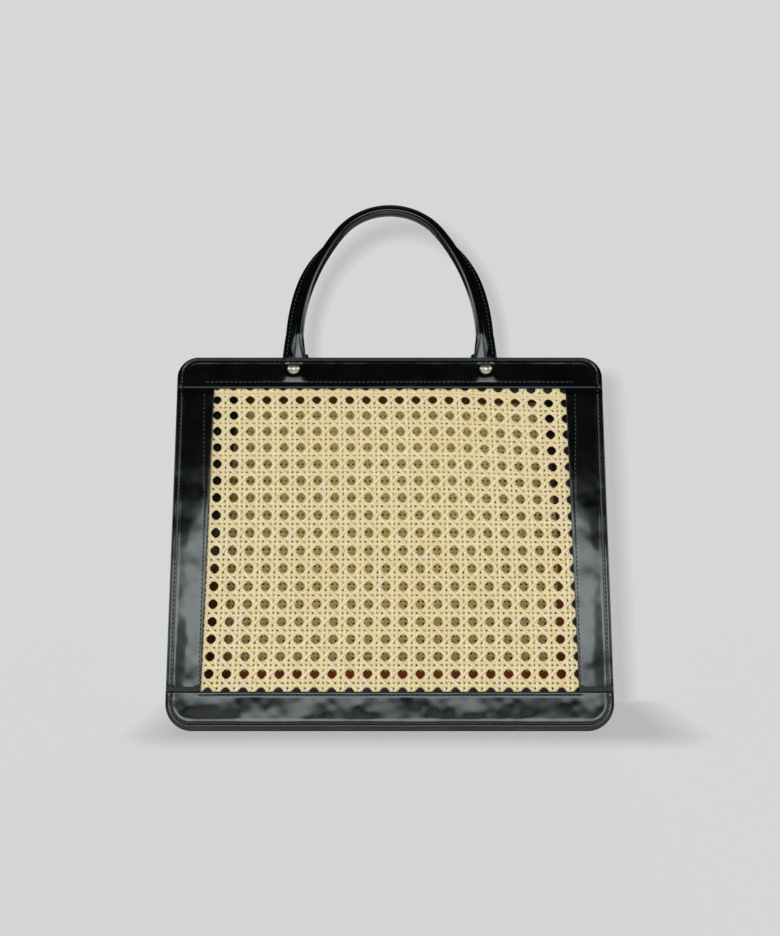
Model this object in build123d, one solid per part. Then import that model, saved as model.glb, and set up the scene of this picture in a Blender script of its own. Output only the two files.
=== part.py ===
"""Stiff tote bag with woven cane panels in leather frames and two rolled leather handles.

Millimetres. X runs along the bag's width, -Y is the front, Z is up. The origin is on the
floor, under the middle of the bag. The bag stands on the lower edges of its two panels.

Each panel is drawn flat in its own frame: x across the bag, y up the panel, z outward through
its layers, with z = 0 on the inner face of the lining. The panel frame leans in at the top.
"""
from build123d import *
import math
import os

# Body
BODY_WIDTH = 324.0
PANEL_HEIGHT = 277.0
BASE_DEPTH = 84.0
MOUTH_DEPTH = 24.0
TOP_CORNER_RADIUS = 16.0
BOTTOM_CORNER_RADIUS = 20.0

# Leather frame on the outside of each panel
TOP_BAND_HEIGHT = 25.2
BOTTOM_BAND_HEIGHT = 27.8
SIDE_STRIP_WIDTH = 26.3
BAND_THICKNESS = 1.8
BAND_LAP = 7.0
EDGE_BEVEL = 0.5

# Board and lining behind the leather frame
BOARD_THICKNESS = 2.0
LINING_THICKNESS = 1.0
LINING_REVEAL = 2.0

# Cane sheet
CANE_MARGIN = 7.0
CANE_SHEET_THICKNESS = 0.9
CANE_CLEARANCE = 0.2
CANE_COLUMNS = 10
CANE_ROWS = 8
CANE_GAP_ACROSS_FLATS = 15.2
CANE_RIDGE_WIDTH = 4.4

# Gusset
GUSSET_THICKNESS = 1.4
GUSSET_FLANGE = 8.0
GUSSET_FOLD_DEPTH = 41.0
GUSSET_FOLD_START = 5.0
GUSSET_TOP_DROP = 18.0
GUSSET_APEX_RISE = 6.0

# Base board
BASE_BOARD_THICKNESS = 2.0
BASE_BOARD_CLEARANCE = 1.0

# Handles
HANDLE_TUBE_DIAMETER = 8.8
HANDLE_HALF_SPAN = 70.8
HANDLE_RISE = 124.5
HANDLE_CROWN_RADIUS = 50.0
HANDLE_SHOULDER_RADIUS = 148.0
HANDLE_FOOT_RISE = 18.0
HANDLE_FOOT_WIDTH = 17.8
HANDLE_FOOT_THICKNESS = 2.6
HANDLE_FOOT_OUTSET = 2.6
HANDLE_TAB_DEPTH = 14.5
HANDLE_TAB_CLEARANCE = 0.2
HANDLE_FLANGE_WIDTH = 5.0
HANDLE_FLANGE_THICKNESS = 2.4
HANDLE_ROLL_SIDES = 10
FOOT_STATIONS = 3
BEND_STATIONS = 7
FLANGE_TURN_BEGINS = 14.0
FLANGE_TURN_ENDS = 48.0
SHOULDER_STATIONS = 8
CROWN_STATIONS = 6
HANDLE_BEND_RADIUS = 5.2
HANDLE_BEND_LIFT = 0.6
HANDLE_REST_CLEARANCE = 0.5

# Rivets
RIVET_DROP = 8.4
RIVET_CAP_DIAMETER = 9.5
RIVET_CAP_HEIGHT = 2.6
RIVET_CAP_SLOPE_DROP = 1.5
RIVET_CAP_SLOPE_WIDTH = 2.4
RIVET_SHANK_DIAMETER = 3.0
RIVET_HOLE_CLEARANCE = 0.1
RIVET_SOCKET_CLEARANCE = 0.05
RIVET_BASE_DIAMETER = 8.0
RIVET_BASE_THICKNESS = 1.0
RIVET_TIP_LENGTH = 1.2

# Sizes that follow from the ones above
LINING_FACE = 0.0
BOARD_FACE = LINING_FACE + LINING_THICKNESS
BAND_FACE = BOARD_FACE + BOARD_THICKNESS
OUTER_FACE = BAND_FACE + BAND_THICKNESS
LEAN = math.degrees(math.asin((BASE_DEPTH - MOUTH_DEPTH) / 2 / PANEL_HEIGHT))
LEAN_SIN = math.sin(math.radians(LEAN))
LEAN_COS = math.cos(math.radians(LEAN))
LEAN_TAN = math.tan(math.radians(LEAN))
WINDOW_WIDTH = BODY_WIDTH - 2 * SIDE_STRIP_WIDTH
WINDOW_HEIGHT = PANEL_HEIGHT - TOP_BAND_HEIGHT - BOTTOM_BAND_HEIGHT
WINDOW_MIDDLE = BOTTOM_BAND_HEIGHT + WINDOW_HEIGHT / 2
CANE_WIDTH = WINDOW_WIDTH + 2 * CANE_MARGIN
CANE_HEIGHT = WINDOW_HEIGHT + 2 * CANE_MARGIN
CANE_RIDGE_HEIGHT = (BOARD_THICKNESS - CANE_SHEET_THICKNESS) / 2
CANE_COLUMN_PITCH = WINDOW_WIDTH / CANE_COLUMNS
CANE_ROW_PITCH = WINDOW_HEIGHT / CANE_ROWS
GUSSET_TOP = PANEL_HEIGHT - GUSSET_TOP_DROP
GUSSET_APEX = GUSSET_TOP + GUSSET_APEX_RISE
HANDLE_TUBE_RADIUS = HANDLE_TUBE_DIAMETER / 2
HANDLE_FOOT_X = HANDLE_HALF_SPAN + HANDLE_FOOT_OUTSET
HANDLE_MIDDLE = (BOARD_FACE + BAND_FACE) / 2
RIVET_HEIGHT = PANEL_HEIGHT - RIVET_DROP
RIVET_HOLE_RADIUS = RIVET_SHANK_DIAMETER / 2 + RIVET_HOLE_CLEARANCE
SIDES = (-1, 1)

PANEL_FRAME = Plane(
    origin=(0, -BASE_DEPTH / 2 + OUTER_FACE * LEAN_COS, -OUTER_FACE * LEAN_SIN),
    x_dir=(1, 0, 0),
    z_dir=(0, -LEAN_COS, LEAN_SIN),
)
BACK_TURN = Rot(0, 0, 180)


def slab(width, height, low, high, x=0.0, y=0.0):
    """A flat block in the panel frame, centred on x and y, between two layer faces."""
    return Pos(x, y, low) * extrude(Rectangle(width, height), high - low)


def stand(shape, back=False):
    """Set a piece drawn in the panel frame upright in the front or the back panel."""
    placed = PANEL_FRAME.location * shape
    return BACK_TURN * placed if back else placed


def trim_at_floor(shape):
    """Cut the lower edges of a standing piece level with the floor."""
    reach = 2 * BODY_WIDTH
    return shape - Pos(0, 0, -reach / 2) * Box(reach, reach, reach)


def panel_outline(inset=0.0):
    """The panel's rounded outline, drawn in by an inset."""
    outline = Pos(0, PANEL_HEIGHT / 2) * Rectangle(BODY_WIDTH - 2 * inset, PANEL_HEIGHT - 2 * inset)
    corners = outline.vertices().sort_by(Axis.Y)
    outline = fillet(corners[:2], BOTTOM_CORNER_RADIUS - inset)
    corners = outline.vertices().sort_by(Axis.Y)[-2:]
    return fillet(corners, TOP_CORNER_RADIUS - inset)


def outline_slab(low, high, inset=0.0):
    """The whole panel outline as a slab between two layer faces."""
    return Pos(0, 0, low) * extrude(panel_outline(inset), high - low)


def rivet_holes():
    """The two holes that the rivet shanks pass through, over the panel's whole thickness."""
    depth = 4 * OUTER_FACE
    hole = Cylinder(RIVET_HOLE_RADIUS, depth)
    return [Pos(side * HANDLE_FOOT_X, RIVET_HEIGHT, 0) * hole for side in SIDES]


def soften_outer_edges(shape):
    """Bevel the edges on the outer face of a leather band or strip."""
    outer = shape.faces().sort_by(Axis.Z)[-1]
    return chamfer(outer.edges(), EDGE_BEVEL)


def band(bottom, top):
    """A leather band across the whole panel, from one height to another."""
    strip = slab(BODY_WIDTH, top - bottom, BAND_FACE, OUTER_FACE, y=(top + bottom) / 2)
    return soften_outer_edges(strip & outline_slab(BAND_FACE, OUTER_FACE))


def strip_tongues(side):
    """The thinned ends of a side strip, which lie under the two bands."""
    x = side * (BODY_WIDTH - SIDE_STRIP_WIDTH) / 2
    top = PANEL_HEIGHT - TOP_BAND_HEIGHT
    half = BAND_FACE + BAND_THICKNESS / 2
    tongue = slab(SIDE_STRIP_WIDTH, BAND_LAP, BAND_FACE, half, x=x)
    return [Pos(0, top + BAND_LAP / 2) * tongue, Pos(0, BOTTOM_BAND_HEIGHT - BAND_LAP / 2) * tongue]


def top_band():
    """The band over the handle feet, with its rivet holes."""
    piece = band(PANEL_HEIGHT - TOP_BAND_HEIGHT, PANEL_HEIGHT)
    for side in SIDES:
        piece -= strip_tongues(side)[0]
    return piece - rivet_holes()


def bottom_band():
    """The band along the foot of the panel."""
    piece = band(0, BOTTOM_BAND_HEIGHT)
    for side in SIDES:
        piece -= strip_tongues(side)[1]
    return piece


def side_strip(side):
    """The leather strip between the bands, on one side of the window."""
    x = side * (BODY_WIDTH - SIDE_STRIP_WIDTH) / 2
    strip = slab(SIDE_STRIP_WIDTH, WINDOW_HEIGHT, BAND_FACE, OUTER_FACE, x=x, y=WINDOW_MIDDLE)
    return soften_outer_edges(strip) + strip_tongues(side)


def cane_panel():
    """The woven sheet: octagonal gaps, upright ridges outside and level ridges inside."""
    low = BOARD_FACE + CANE_RIDGE_HEIGHT
    high = low + CANE_SHEET_THICKNESS
    sheet = slab(CANE_WIDTH, CANE_HEIGHT, low, high, y=WINDOW_MIDDLE)
    gap = RegularPolygon(CANE_GAP_ACROSS_FLATS / 2, 8, major_radius=False)
    grid = GridLocations(CANE_COLUMN_PITCH, CANE_ROW_PITCH, CANE_COLUMNS, CANE_ROWS)
    gaps = [Pos(0, WINDOW_MIDDLE, low) * place * gap for place in grid]
    sheet -= extrude(Sketch() + gaps, CANE_SHEET_THICKNESS)
    ridges = []
    for column in range(CANE_COLUMNS + 1):
        x = (column - CANE_COLUMNS / 2) * CANE_COLUMN_PITCH
        ridges.append(slab(CANE_RIDGE_WIDTH, CANE_HEIGHT, high, BAND_FACE, x=x, y=WINDOW_MIDDLE))
    for row in range(CANE_ROWS + 1):
        y = WINDOW_MIDDLE + (row - CANE_ROWS / 2) * CANE_ROW_PITCH
        ridges.append(slab(CANE_WIDTH, CANE_RIDGE_WIDTH, BOARD_FACE, low, y=y))
    return sheet + ridges


def frame_board():
    """The stiff board ring round the cane sheet, notched for the handle tabs."""
    ring = outline_slab(BOARD_FACE, BAND_FACE)
    opening_width = CANE_WIDTH + 2 * CANE_CLEARANCE
    opening_height = CANE_HEIGHT + 2 * CANE_CLEARANCE
    ring -= slab(opening_width, opening_height, BOARD_FACE, BAND_FACE, y=WINDOW_MIDDLE)
    notch_width = HANDLE_FOOT_WIDTH + 2 * HANDLE_TAB_CLEARANCE
    notch_bottom = PANEL_HEIGHT - HANDLE_TAB_DEPTH - HANDLE_TAB_CLEARANCE
    for side in SIDES:
        x = side * HANDLE_FOOT_X
        height = PANEL_HEIGHT - notch_bottom
        ring -= slab(notch_width, height, BOARD_FACE, BAND_FACE, x=x, y=notch_bottom + height / 2)
    return ring


def lining_frame():
    """The lining cut as one frame behind the board, a little narrower inside than the bands."""
    window_width = WINDOW_WIDTH - 2 * LINING_REVEAL
    window_height = WINDOW_HEIGHT - 2 * LINING_REVEAL
    frame = outline_slab(LINING_FACE, BOARD_FACE)
    frame -= slab(window_width, window_height, LINING_FACE, BOARD_FACE, y=WINDOW_MIDDLE)
    return frame - rivet_holes()


def rivet_caps():
    """The two domed caps on the band, each with a socket for its post."""
    base = (Align.CENTER, Align.CENTER, Align.MIN)
    cap = Cylinder(RIVET_CAP_DIAMETER / 2, RIVET_CAP_HEIGHT, align=base)
    cap = chamfer(cap.edges().sort_by(Axis.Z)[-1], RIVET_CAP_SLOPE_DROP, RIVET_CAP_SLOPE_WIDTH)
    socket_radius = RIVET_SHANK_DIAMETER / 2 + RIVET_SOCKET_CLEARANCE
    cap -= Cylinder(socket_radius, RIVET_TIP_LENGTH, align=base)
    return Compound([Pos(s * HANDLE_FOOT_X, RIVET_HEIGHT, OUTER_FACE) * cap for s in SIDES])


def rivet_posts():
    """The two posts that come from inside, through the lining, the tab and the band."""
    base = Cylinder(
        RIVET_BASE_DIAMETER / 2, RIVET_BASE_THICKNESS, align=(Align.CENTER, Align.CENTER, Align.MAX)
    )
    shank_length = OUTER_FACE + RIVET_TIP_LENGTH
    shank = Cylinder(
        RIVET_SHANK_DIAMETER / 2, shank_length, align=(Align.CENTER, Align.CENTER, Align.MIN)
    )
    post = base + shank
    return Compound([Pos(s * HANDLE_FOOT_X, RIVET_HEIGHT, LINING_FACE) * post for s in SIDES])


# The handle's centre line: two shoulder arcs and a crown arc that meet without a corner.
# The turn is the angle, in degrees, from the left leg over the crown to the right leg.
SHOULDER_TURN = math.degrees(
    math.acos(
        (HANDLE_SHOULDER_RADIUS - HANDLE_HALF_SPAN) / (HANDLE_SHOULDER_RADIUS - HANDLE_CROWN_RADIUS)
    )
)
CROWN_CENTRE = HANDLE_RISE - HANDLE_TUBE_RADIUS - HANDLE_CROWN_RADIUS
SHOULDER_CENTRE = CROWN_CENTRE - (HANDLE_SHOULDER_RADIUS - HANDLE_CROWN_RADIUS) * math.sin(
    math.radians(SHOULDER_TURN)
)
FIRST_TURN = math.degrees(math.asin((HANDLE_FOOT_RISE - SHOULDER_CENTRE) / HANDLE_SHOULDER_RADIUS))


def centre_line(turn):
    """A point of the handle's centre line, and the direction out of the arch there."""
    outward = Vector(-math.cos(math.radians(turn)), math.sin(math.radians(turn)), 0)
    reach = HANDLE_SHOULDER_RADIUS - HANDLE_HALF_SPAN
    if turn < SHOULDER_TURN:
        return Vector(reach, SHOULDER_CENTRE, 0) + outward * HANDLE_SHOULDER_RADIUS, outward
    if turn > 180 - SHOULDER_TURN:
        return Vector(-reach, SHOULDER_CENTRE, 0) + outward * HANDLE_SHOULDER_RADIUS, outward
    return Vector(0, CROWN_CENTRE, 0) + outward * HANDLE_CROWN_RADIUS, outward


def handle_ring(point, along, across, half_width, half_depth, reach):
    """The handle cut across: a round or flattened roll, with its sewn flange on one side."""
    half = HANDLE_FLANGE_THICKNESS / 2
    start = math.asin(half / half_depth)
    ring = []
    for index in range(HANDLE_ROLL_SIDES + 1):
        angle = start + (2 * math.pi - 2 * start) * index / HANDLE_ROLL_SIDES
        offset = along * (half_width * math.cos(angle)) + across * (half_depth * math.sin(angle))
        ring.append(point + offset)
    ring.append(point + along * reach - across * half)
    ring.append(point + along * reach + across * half)
    return ring


def tube_ring(turn):
    """The round part at one turn: the flange is outside at the legs and behind at the crown."""
    point, outward = centre_line(turn)
    from_leg = min(turn, 180 - turn)
    share = (from_leg - FLANGE_TURN_BEGINS) / (FLANGE_TURN_ENDS - FLANGE_TURN_BEGINS)
    swing = math.radians(90) * min(max(share, 0), 1)
    behind = Vector(0, 0, -1)
    along = outward * math.cos(swing) + behind * math.sin(swing)
    across = outward * math.sin(swing) - behind * math.cos(swing)
    reach = HANDLE_TUBE_RADIUS + HANDLE_FLANGE_WIDTH
    return handle_ring(point, along, across, HANDLE_TUBE_RADIUS, HANDLE_TUBE_RADIUS, reach)


def foot_ring(share=0.0):
    """The left foot at a share of its swelling, from the flat tab to the round tube."""
    flat_width = HANDLE_FOOT_WIDTH / 2 - HANDLE_FOOT_OUTSET
    flat_depth = HANDLE_FOOT_THICKNESS / 2
    flat_reach = HANDLE_FOOT_WIDTH / 2 + HANDLE_FOOT_OUTSET
    half_width = flat_width + share * (HANDLE_TUBE_RADIUS - flat_width)
    half_depth = flat_depth + share * (HANDLE_TUBE_RADIUS - flat_depth)
    reach = flat_reach + share * (HANDLE_TUBE_RADIUS + HANDLE_FLANGE_WIDTH - flat_reach)
    point = Vector(-HANDLE_HALF_SPAN, HANDLE_FOOT_RISE * share**2, 0)
    return handle_ring(point, Vector(-1, 0, 0), Vector(0, 0, 1), half_width, half_depth, reach)


def hanging_bend():
    """The bend at which a handle that hangs over its band rests its crown on the cane."""
    crown_reach = HANDLE_RISE - HANDLE_TUBE_RADIUS
    spare = HANDLE_MIDDLE + HANDLE_BEND_RADIUS - HANDLE_TUBE_RADIUS
    spare -= BAND_FACE + HANDLE_REST_CLEARANCE
    settle = math.atan2(HANDLE_BEND_RADIUS, crown_reach)
    settle += math.asin(spare / math.hypot(HANDLE_BEND_RADIUS, crown_reach))
    return 180 + math.degrees(settle)


def bent(ring, bend):
    """A ring turned with the foot as it bends forward over the edge of the band."""
    hub = Vector(0, HANDLE_BEND_LIFT, HANDLE_BEND_RADIUS)
    return [hub + (point - hub).rotate(Axis.X, bend) if bend else point for point in ring]


def left_rings(bend):
    """Rings up the left half of the handle, from the top of its tab to the crown."""
    rings = []
    lift = 0.0
    if bend:
        lift = HANDLE_BEND_LIFT
        rings.append(foot_ring())
    base = [point + Vector(0, lift, 0) for point in foot_ring()]
    for index in range(BEND_STATIONS if bend else 0):
        rings.append(bent(base, bend * index / BEND_STATIONS))
    shoulder = (SHOULDER_TURN - FIRST_TURN) / SHOULDER_STATIONS
    crown = (90 - SHOULDER_TURN) / CROWN_STATIONS
    turns = [FIRST_TURN + i * shoulder for i in range(SHOULDER_STATIONS)]
    turns += [SHOULDER_TURN + i * crown for i in range(CROWN_STATIONS + 1)]
    arch = [foot_ring(index / FOOT_STATIONS) for index in range(FOOT_STATIONS)]
    arch += [tube_ring(turn) for turn in turns]
    for ring in arch:
        rings.append(bent([point + Vector(0, lift, 0) for point in ring], bend))
    return rings


def faceted_solid(rings):
    """A closed solid through rings of points, with plane facets between them."""
    faces = [Face(Wire.make_polygon(ring)) for ring in (rings[0], rings[-1])]
    for near, far in zip(rings, rings[1:]):
        for index in range(len(near)):
            a, b, c, d = near[index - 1], near[index], far[index], far[index - 1]
            faces.append(Face(Wire.make_polygon([a, b, c])))
            faces.append(Face(Wire.make_polygon([a, c, d])))
    return Solid(Shell(faces))


def handle(bend=0.0):
    """A whole handle in the panel frame: tabs, feet, rolled tube and sewn flange."""
    left = left_rings(bend)
    right = [[Vector(-point.X, point.Y, point.Z) for point in ring] for ring in left]
    piece = faceted_solid(left + right[-2::-1])
    tab = Pos(0, -HANDLE_TAB_DEPTH / 2) * Box(HANDLE_FOOT_WIDTH, HANDLE_TAB_DEPTH, BOARD_THICKNESS)
    hole = Pos(0, -RIVET_DROP) * Cylinder(RIVET_HOLE_RADIUS, 2 * BOARD_THICKNESS)
    for side in SIDES:
        piece += Pos(side * HANDLE_FOOT_X, 0) * (tab - hole)
    return Pos(0, PANEL_HEIGHT, HANDLE_MIDDLE) * piece


def half_gap(height):
    """Half the space between the two linings at a height above the floor."""
    return BASE_DEPTH / 2 - OUTER_FACE * LEAN_COS - (height + OUTER_FACE * LEAN_SIN) * LEAN_TAN


def gusset_flange():
    """The edge of the gusset that is turned out and sewn to the panel, up both sides."""
    inner = GUSSET_FLANGE + GUSSET_THICKNESS
    ring = outline_slab(LINING_FACE - GUSSET_THICKNESS, LINING_FACE)
    ring -= outline_slab(LINING_FACE - GUSSET_THICKNESS, LINING_FACE, inset=inner)
    above = 2 * (PANEL_HEIGHT - GUSSET_TOP)
    return ring - slab(
        BODY_WIDTH, above, LINING_FACE - GUSSET_THICKNESS, LINING_FACE, y=GUSSET_TOP + above / 2
    )


def gusset_floor():
    """The gusset along the floor and round the two lower corners, cut to the leaning linings."""
    corner = BOTTOM_CORNER_RADIUS
    outer = panel_outline(inset=GUSSET_FLANGE)
    inner = panel_outline(inset=GUSSET_FLANGE + GUSSET_THICKNESS)
    above = PANEL_HEIGHT
    strip = outer - inner - Pos(0, corner + above / 2) * Rectangle(BODY_WIDTH, above)
    wall = extrude(Plane.XZ * strip, BASE_DEPTH / 2, both=True)
    return wall & between_linings()


def between_linings():
    """The wedge of space between the two linings."""
    top = PANEL_HEIGHT * LEAN_COS
    wedge = Polyline(
        (-half_gap(0), 0), (half_gap(0), 0), (half_gap(top), top), (-half_gap(top), top), close=True
    )
    return extrude(Plane.YZ * make_face(wedge), BODY_WIDTH / 2, both=True)


def fold_ring(height):
    """The side wall cut level: a front leaf, the flat between the two creases and a back leaf."""
    bottom = BOTTOM_CORNER_RADIUS
    share = (height - bottom) / (GUSSET_APEX - bottom)
    seam = Vector(BODY_WIDTH / 2 - GUSSET_FLANGE, -half_gap(height) + GUSSET_THICKNESS)
    crease_depth = (half_gap(bottom) - GUSSET_THICKNESS) * (1 - share)
    crease = Vector(seam.X - share * GUSSET_FOLD_DEPTH, -crease_depth)
    leaf = crease - seam
    inward = Vector(-leaf.Y, leaf.X) * (GUSSET_THICKNESS / leaf.length)
    seam_inner = seam + inward
    inner_x = crease.X - GUSSET_THICKNESS
    inner_y = seam_inner.Y + leaf.Y * (inner_x - seam_inner.X) / leaf.X
    front = [(seam_inner.X, seam_inner.Y), (inner_x, inner_y)]
    front_outer = [(crease.X, crease.Y), (seam.X, seam.Y)]
    back = [(x, -y) for x, y in reversed(front)]
    back_outer = [(x, -y) for x, y in reversed(front_outer)]
    return [Vector(x, y, height) for x, y in front + back + back_outer + front_outer]


def gusset_wall():
    """The right side wall of the gusset: a flat triangle and two leaves that fold inward."""
    first = fold_ring(BOTTOM_CORNER_RADIUS + GUSSET_FOLD_START)
    foot = [Vector(point.X, point.Y, BOTTOM_CORNER_RADIUS) for point in first]
    return faceted_solid([foot, first, fold_ring(GUSSET_TOP * LEAN_COS)])


def gusset():
    """The one strip of leather that forms both sides and the floor of the bag."""
    wall = gusset_wall()
    piece = gusset_floor() + wall + BACK_TURN * wall
    flange = trim_at_floor(stand(gusset_flange()))
    return piece + flange + BACK_TURN * flange


def base_board():
    """The stiff board that lies on the gusset's floor."""
    low = GUSSET_FLANGE + GUSSET_THICKNESS
    corner = BOTTOM_CORNER_RADIUS - low
    width = BODY_WIDTH - 2 * (low + corner)
    depth = 2 * (half_gap(low + BASE_BOARD_THICKNESS) - BASE_BOARD_CLEARANCE)
    return Pos(0, 0, low) * extrude(Rectangle(width, depth), BASE_BOARD_THICKNESS)


def panel_pieces(back):
    """Every piece of one panel, set in place, by node name."""
    side_name = "back" if back else "front"
    drawn = {
        "top_band": top_band(),
        "bottom_band": bottom_band(),
        "left_strip": side_strip(-1),
        "right_strip": side_strip(1),
        "cane_panel": cane_panel(),
        "frame_board": frame_board(),
        "lining_frame": lining_frame(),
        "handle": handle(hanging_bend() if back else 0.0),
        "rivet_caps": rivet_caps(),
        "rivet_posts": rivet_posts(),
    }
    reaches_floor = ("bottom_band", "frame_board", "lining_frame")
    placed = {}
    for name, shape in drawn.items():
        shape = stand(shape, back)
        placed[f"{side_name}_{name}"] = trim_at_floor(shape) if name in reaches_floor else shape
    return placed


parts = {
    **panel_pieces(back=False),
    **panel_pieces(back=True),
    "gusset": gusset(),
    "base_board": base_board(),
}

os.makedirs("parts", exist_ok=True)
for node, shape in parts.items():
    export_step(shape, f"parts/{node}.step")
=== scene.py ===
"""Looks of a stiff tote bag: woven cane panels in sewn black leather frames, rolled handles.

Sizes are in millimetres, as a maker would write them; meshes are made in metres. A panel is
drawn flat, as points (x across, height up the panel, distance outward from its lining), and
its place sets those points upright in the front or the back of the bag.
"""

import logging
import math
from dataclasses import dataclass, field
from enum import Enum

import bpy
import numpy as np
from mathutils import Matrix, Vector


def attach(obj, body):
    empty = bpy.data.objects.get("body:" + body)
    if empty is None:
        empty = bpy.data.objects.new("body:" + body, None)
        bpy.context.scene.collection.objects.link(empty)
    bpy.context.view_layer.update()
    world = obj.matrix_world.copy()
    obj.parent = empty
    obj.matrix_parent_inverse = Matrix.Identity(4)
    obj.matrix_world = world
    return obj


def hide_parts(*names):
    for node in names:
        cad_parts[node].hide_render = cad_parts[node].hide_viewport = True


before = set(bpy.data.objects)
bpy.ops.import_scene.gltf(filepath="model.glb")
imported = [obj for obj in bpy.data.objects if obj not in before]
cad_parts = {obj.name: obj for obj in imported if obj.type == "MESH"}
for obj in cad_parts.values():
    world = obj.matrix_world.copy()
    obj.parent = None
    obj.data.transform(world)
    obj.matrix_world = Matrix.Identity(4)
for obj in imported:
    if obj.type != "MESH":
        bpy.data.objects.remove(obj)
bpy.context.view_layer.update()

MM = 0.001
BODY = "root"
Array = np.ndarray
Pair = tuple[float, float]
Pairs = tuple[Pair, ...]
Triple = tuple[float, float, float]
Colour = Triple
Box = tuple[float, float, float, float]
Station = tuple[Array, Array, Array, float, float, float, float]
log = logging.getLogger("tote_bag")


def smooth(share: Array) -> Array:
    """A soft step from 0 to 1 as the share goes from 0 to 1."""
    share = np.clip(share, 0.0, 1.0)
    return share * share * (3.0 - 2.0 * share)


def bell(distance: Array) -> Array:
    """A soft hump: 1 at no distance, and low beyond a distance of 1."""
    return np.exp(-(distance**2))


def unit(vectors: Array) -> Array:
    """The same directions, each of length 1."""
    return vectors / np.linalg.norm(vectors, axis=1)[:, None]


def travelled(path: Array) -> Array:
    """How far along a path each of its points lies."""
    return np.concatenate([[0], np.cumsum(np.linalg.norm(np.diff(path, axis=0), axis=1))])


def between(values: Array, far: Array, where: Array) -> Array:
    """Read the values of a path's points between those points.

    Args:
        values: One row for each point.
        far: How far along the path each point lies.
        where: How far along it to read.

    Returns:
        One row for each reading.
    """
    return np.stack([np.interp(where, far, column) for column in values.T], axis=1)


def on_arc(x: float, y: float, radius: float, angle: float) -> Pair:
    """A point of an arc round a centre, by its angle in radians."""
    return (x + radius * math.cos(angle), y + radius * math.sin(angle))


def grey(level: float) -> Box:
    """A grey of that level, as the colour of a node."""
    return (level, level, level, 1.0)


def drift(x: Array, y: Array, wavelength: float, seed: int) -> Array:
    """Slow irregular waves, about -1 to 1.

    Args:
        x: Places across, in millimetres.
        y: Places up, in millimetres.
        wavelength: The mean length of a wave, in millimetres.
        seed: The seed of the waves' headings and phases.

    Returns:
        One height for each place.
    """
    rng = np.random.default_rng(seed)
    total = np.zeros(np.broadcast(x, y).shape)
    waves = 14
    for _ in range(waves):
        heading = rng.uniform(0, 2 * math.pi)
        turns = 2 * math.pi / (wavelength * rng.uniform(0.6, 1.7))
        phase = rng.uniform(0, 2 * math.pi)
        total += np.sin(turns * (x * math.cos(heading) + y * math.sin(heading)) + phase)
    return total * math.sqrt(2 / waves) / 1.6


class PanelSide(Enum):
    """Which of the bag's two panels a piece belongs to."""

    FRONT = "front"
    BACK = "back"


class Weave(Enum):
    """The four ways in which strands run through the cane sheet."""

    UPRIGHT = "uprights"
    LEVEL = "levels"
    FALLING = "falling_diagonals"
    RISING = "rising_diagonals"


@dataclass(frozen=True)
class BagSizes:
    """Sizes that several sub-assemblies share, as in the solids."""

    width: float = 324.0
    height: float = 277.0
    base_depth: float = 84.0
    mouth_depth: float = 24.0
    top_corner: float = 16.0
    bottom_corner: float = 20.0
    top_band: float = 25.2
    bottom_band: float = 27.8
    side_strip: float = 26.3
    board_face: float = 1.0
    band_face: float = 3.0
    outer_face: float = 4.8
    foot_x: float = 73.4
    foot_width: float = 17.8
    tab_depth: float = 14.5
    rivet_height: float = 268.6

    @property
    def lean(self) -> float:
        """The angle by which each panel leans in, in radians."""
        return math.asin((self.base_depth - self.mouth_depth) / 2 / self.height)

    @property
    def window_half_width(self) -> float:
        """Half the width of the opening that shows the cane."""
        return self.width / 2 - self.side_strip

    @property
    def window_top(self) -> float:
        """The height of the window's upper edge."""
        return self.height - self.top_band

    def half_gap(self, level: Array) -> Array:
        """Half the space between the two linings at a level above the floor."""
        rise = level + self.outer_face * math.sin(self.lean)
        return self.base_depth / 2 - self.outer_face * math.cos(self.lean) - rise * math.tan(self.lean)


SIZES = BagSizes()


@dataclass(frozen=True)
class PanelPlace:
    """Sets points of a flat panel upright in the bag."""

    side: PanelSide
    sizes: BagSizes = SIZES

    def points(self, flat: Array) -> Array:
        """Place points of the panel.

        Args:
            flat: Points as (x, height, outward), in millimetres.

        Returns:
            The same points in the bag's frame, in metres.
        """
        turned = self.directions(flat)
        sine, cosine = math.sin(self.sizes.lean), math.cos(self.sizes.lean)
        y = -self.sizes.base_depth / 2 + self.sizes.outer_face * cosine
        foot = np.array([0.0, y, -self.sizes.outer_face * sine])
        if self.side is PanelSide.BACK:
            foot[1] = -foot[1]
        placed = (turned + foot) * MM
        placed[..., 2] = np.maximum(placed[..., 2], 0.0)
        return placed

    def directions(self, flat: Array) -> Array:
        """Turn directions of the panel into directions in the bag's frame.

        Args:
            flat: Directions as (x, up, outward).

        Returns:
            The same directions in the bag's frame.
        """
        flat = np.asarray(flat, float)
        sine, cosine = math.sin(self.sizes.lean), math.cos(self.sizes.lean)
        x, up, out = flat[..., 0], flat[..., 1], flat[..., 2]
        y = up * sine - out * cosine
        z = up * cosine + out * sine
        if self.side is PanelSide.BACK:
            x, y = -x, -y
        return np.stack([x, y, z], axis=-1)


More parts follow.
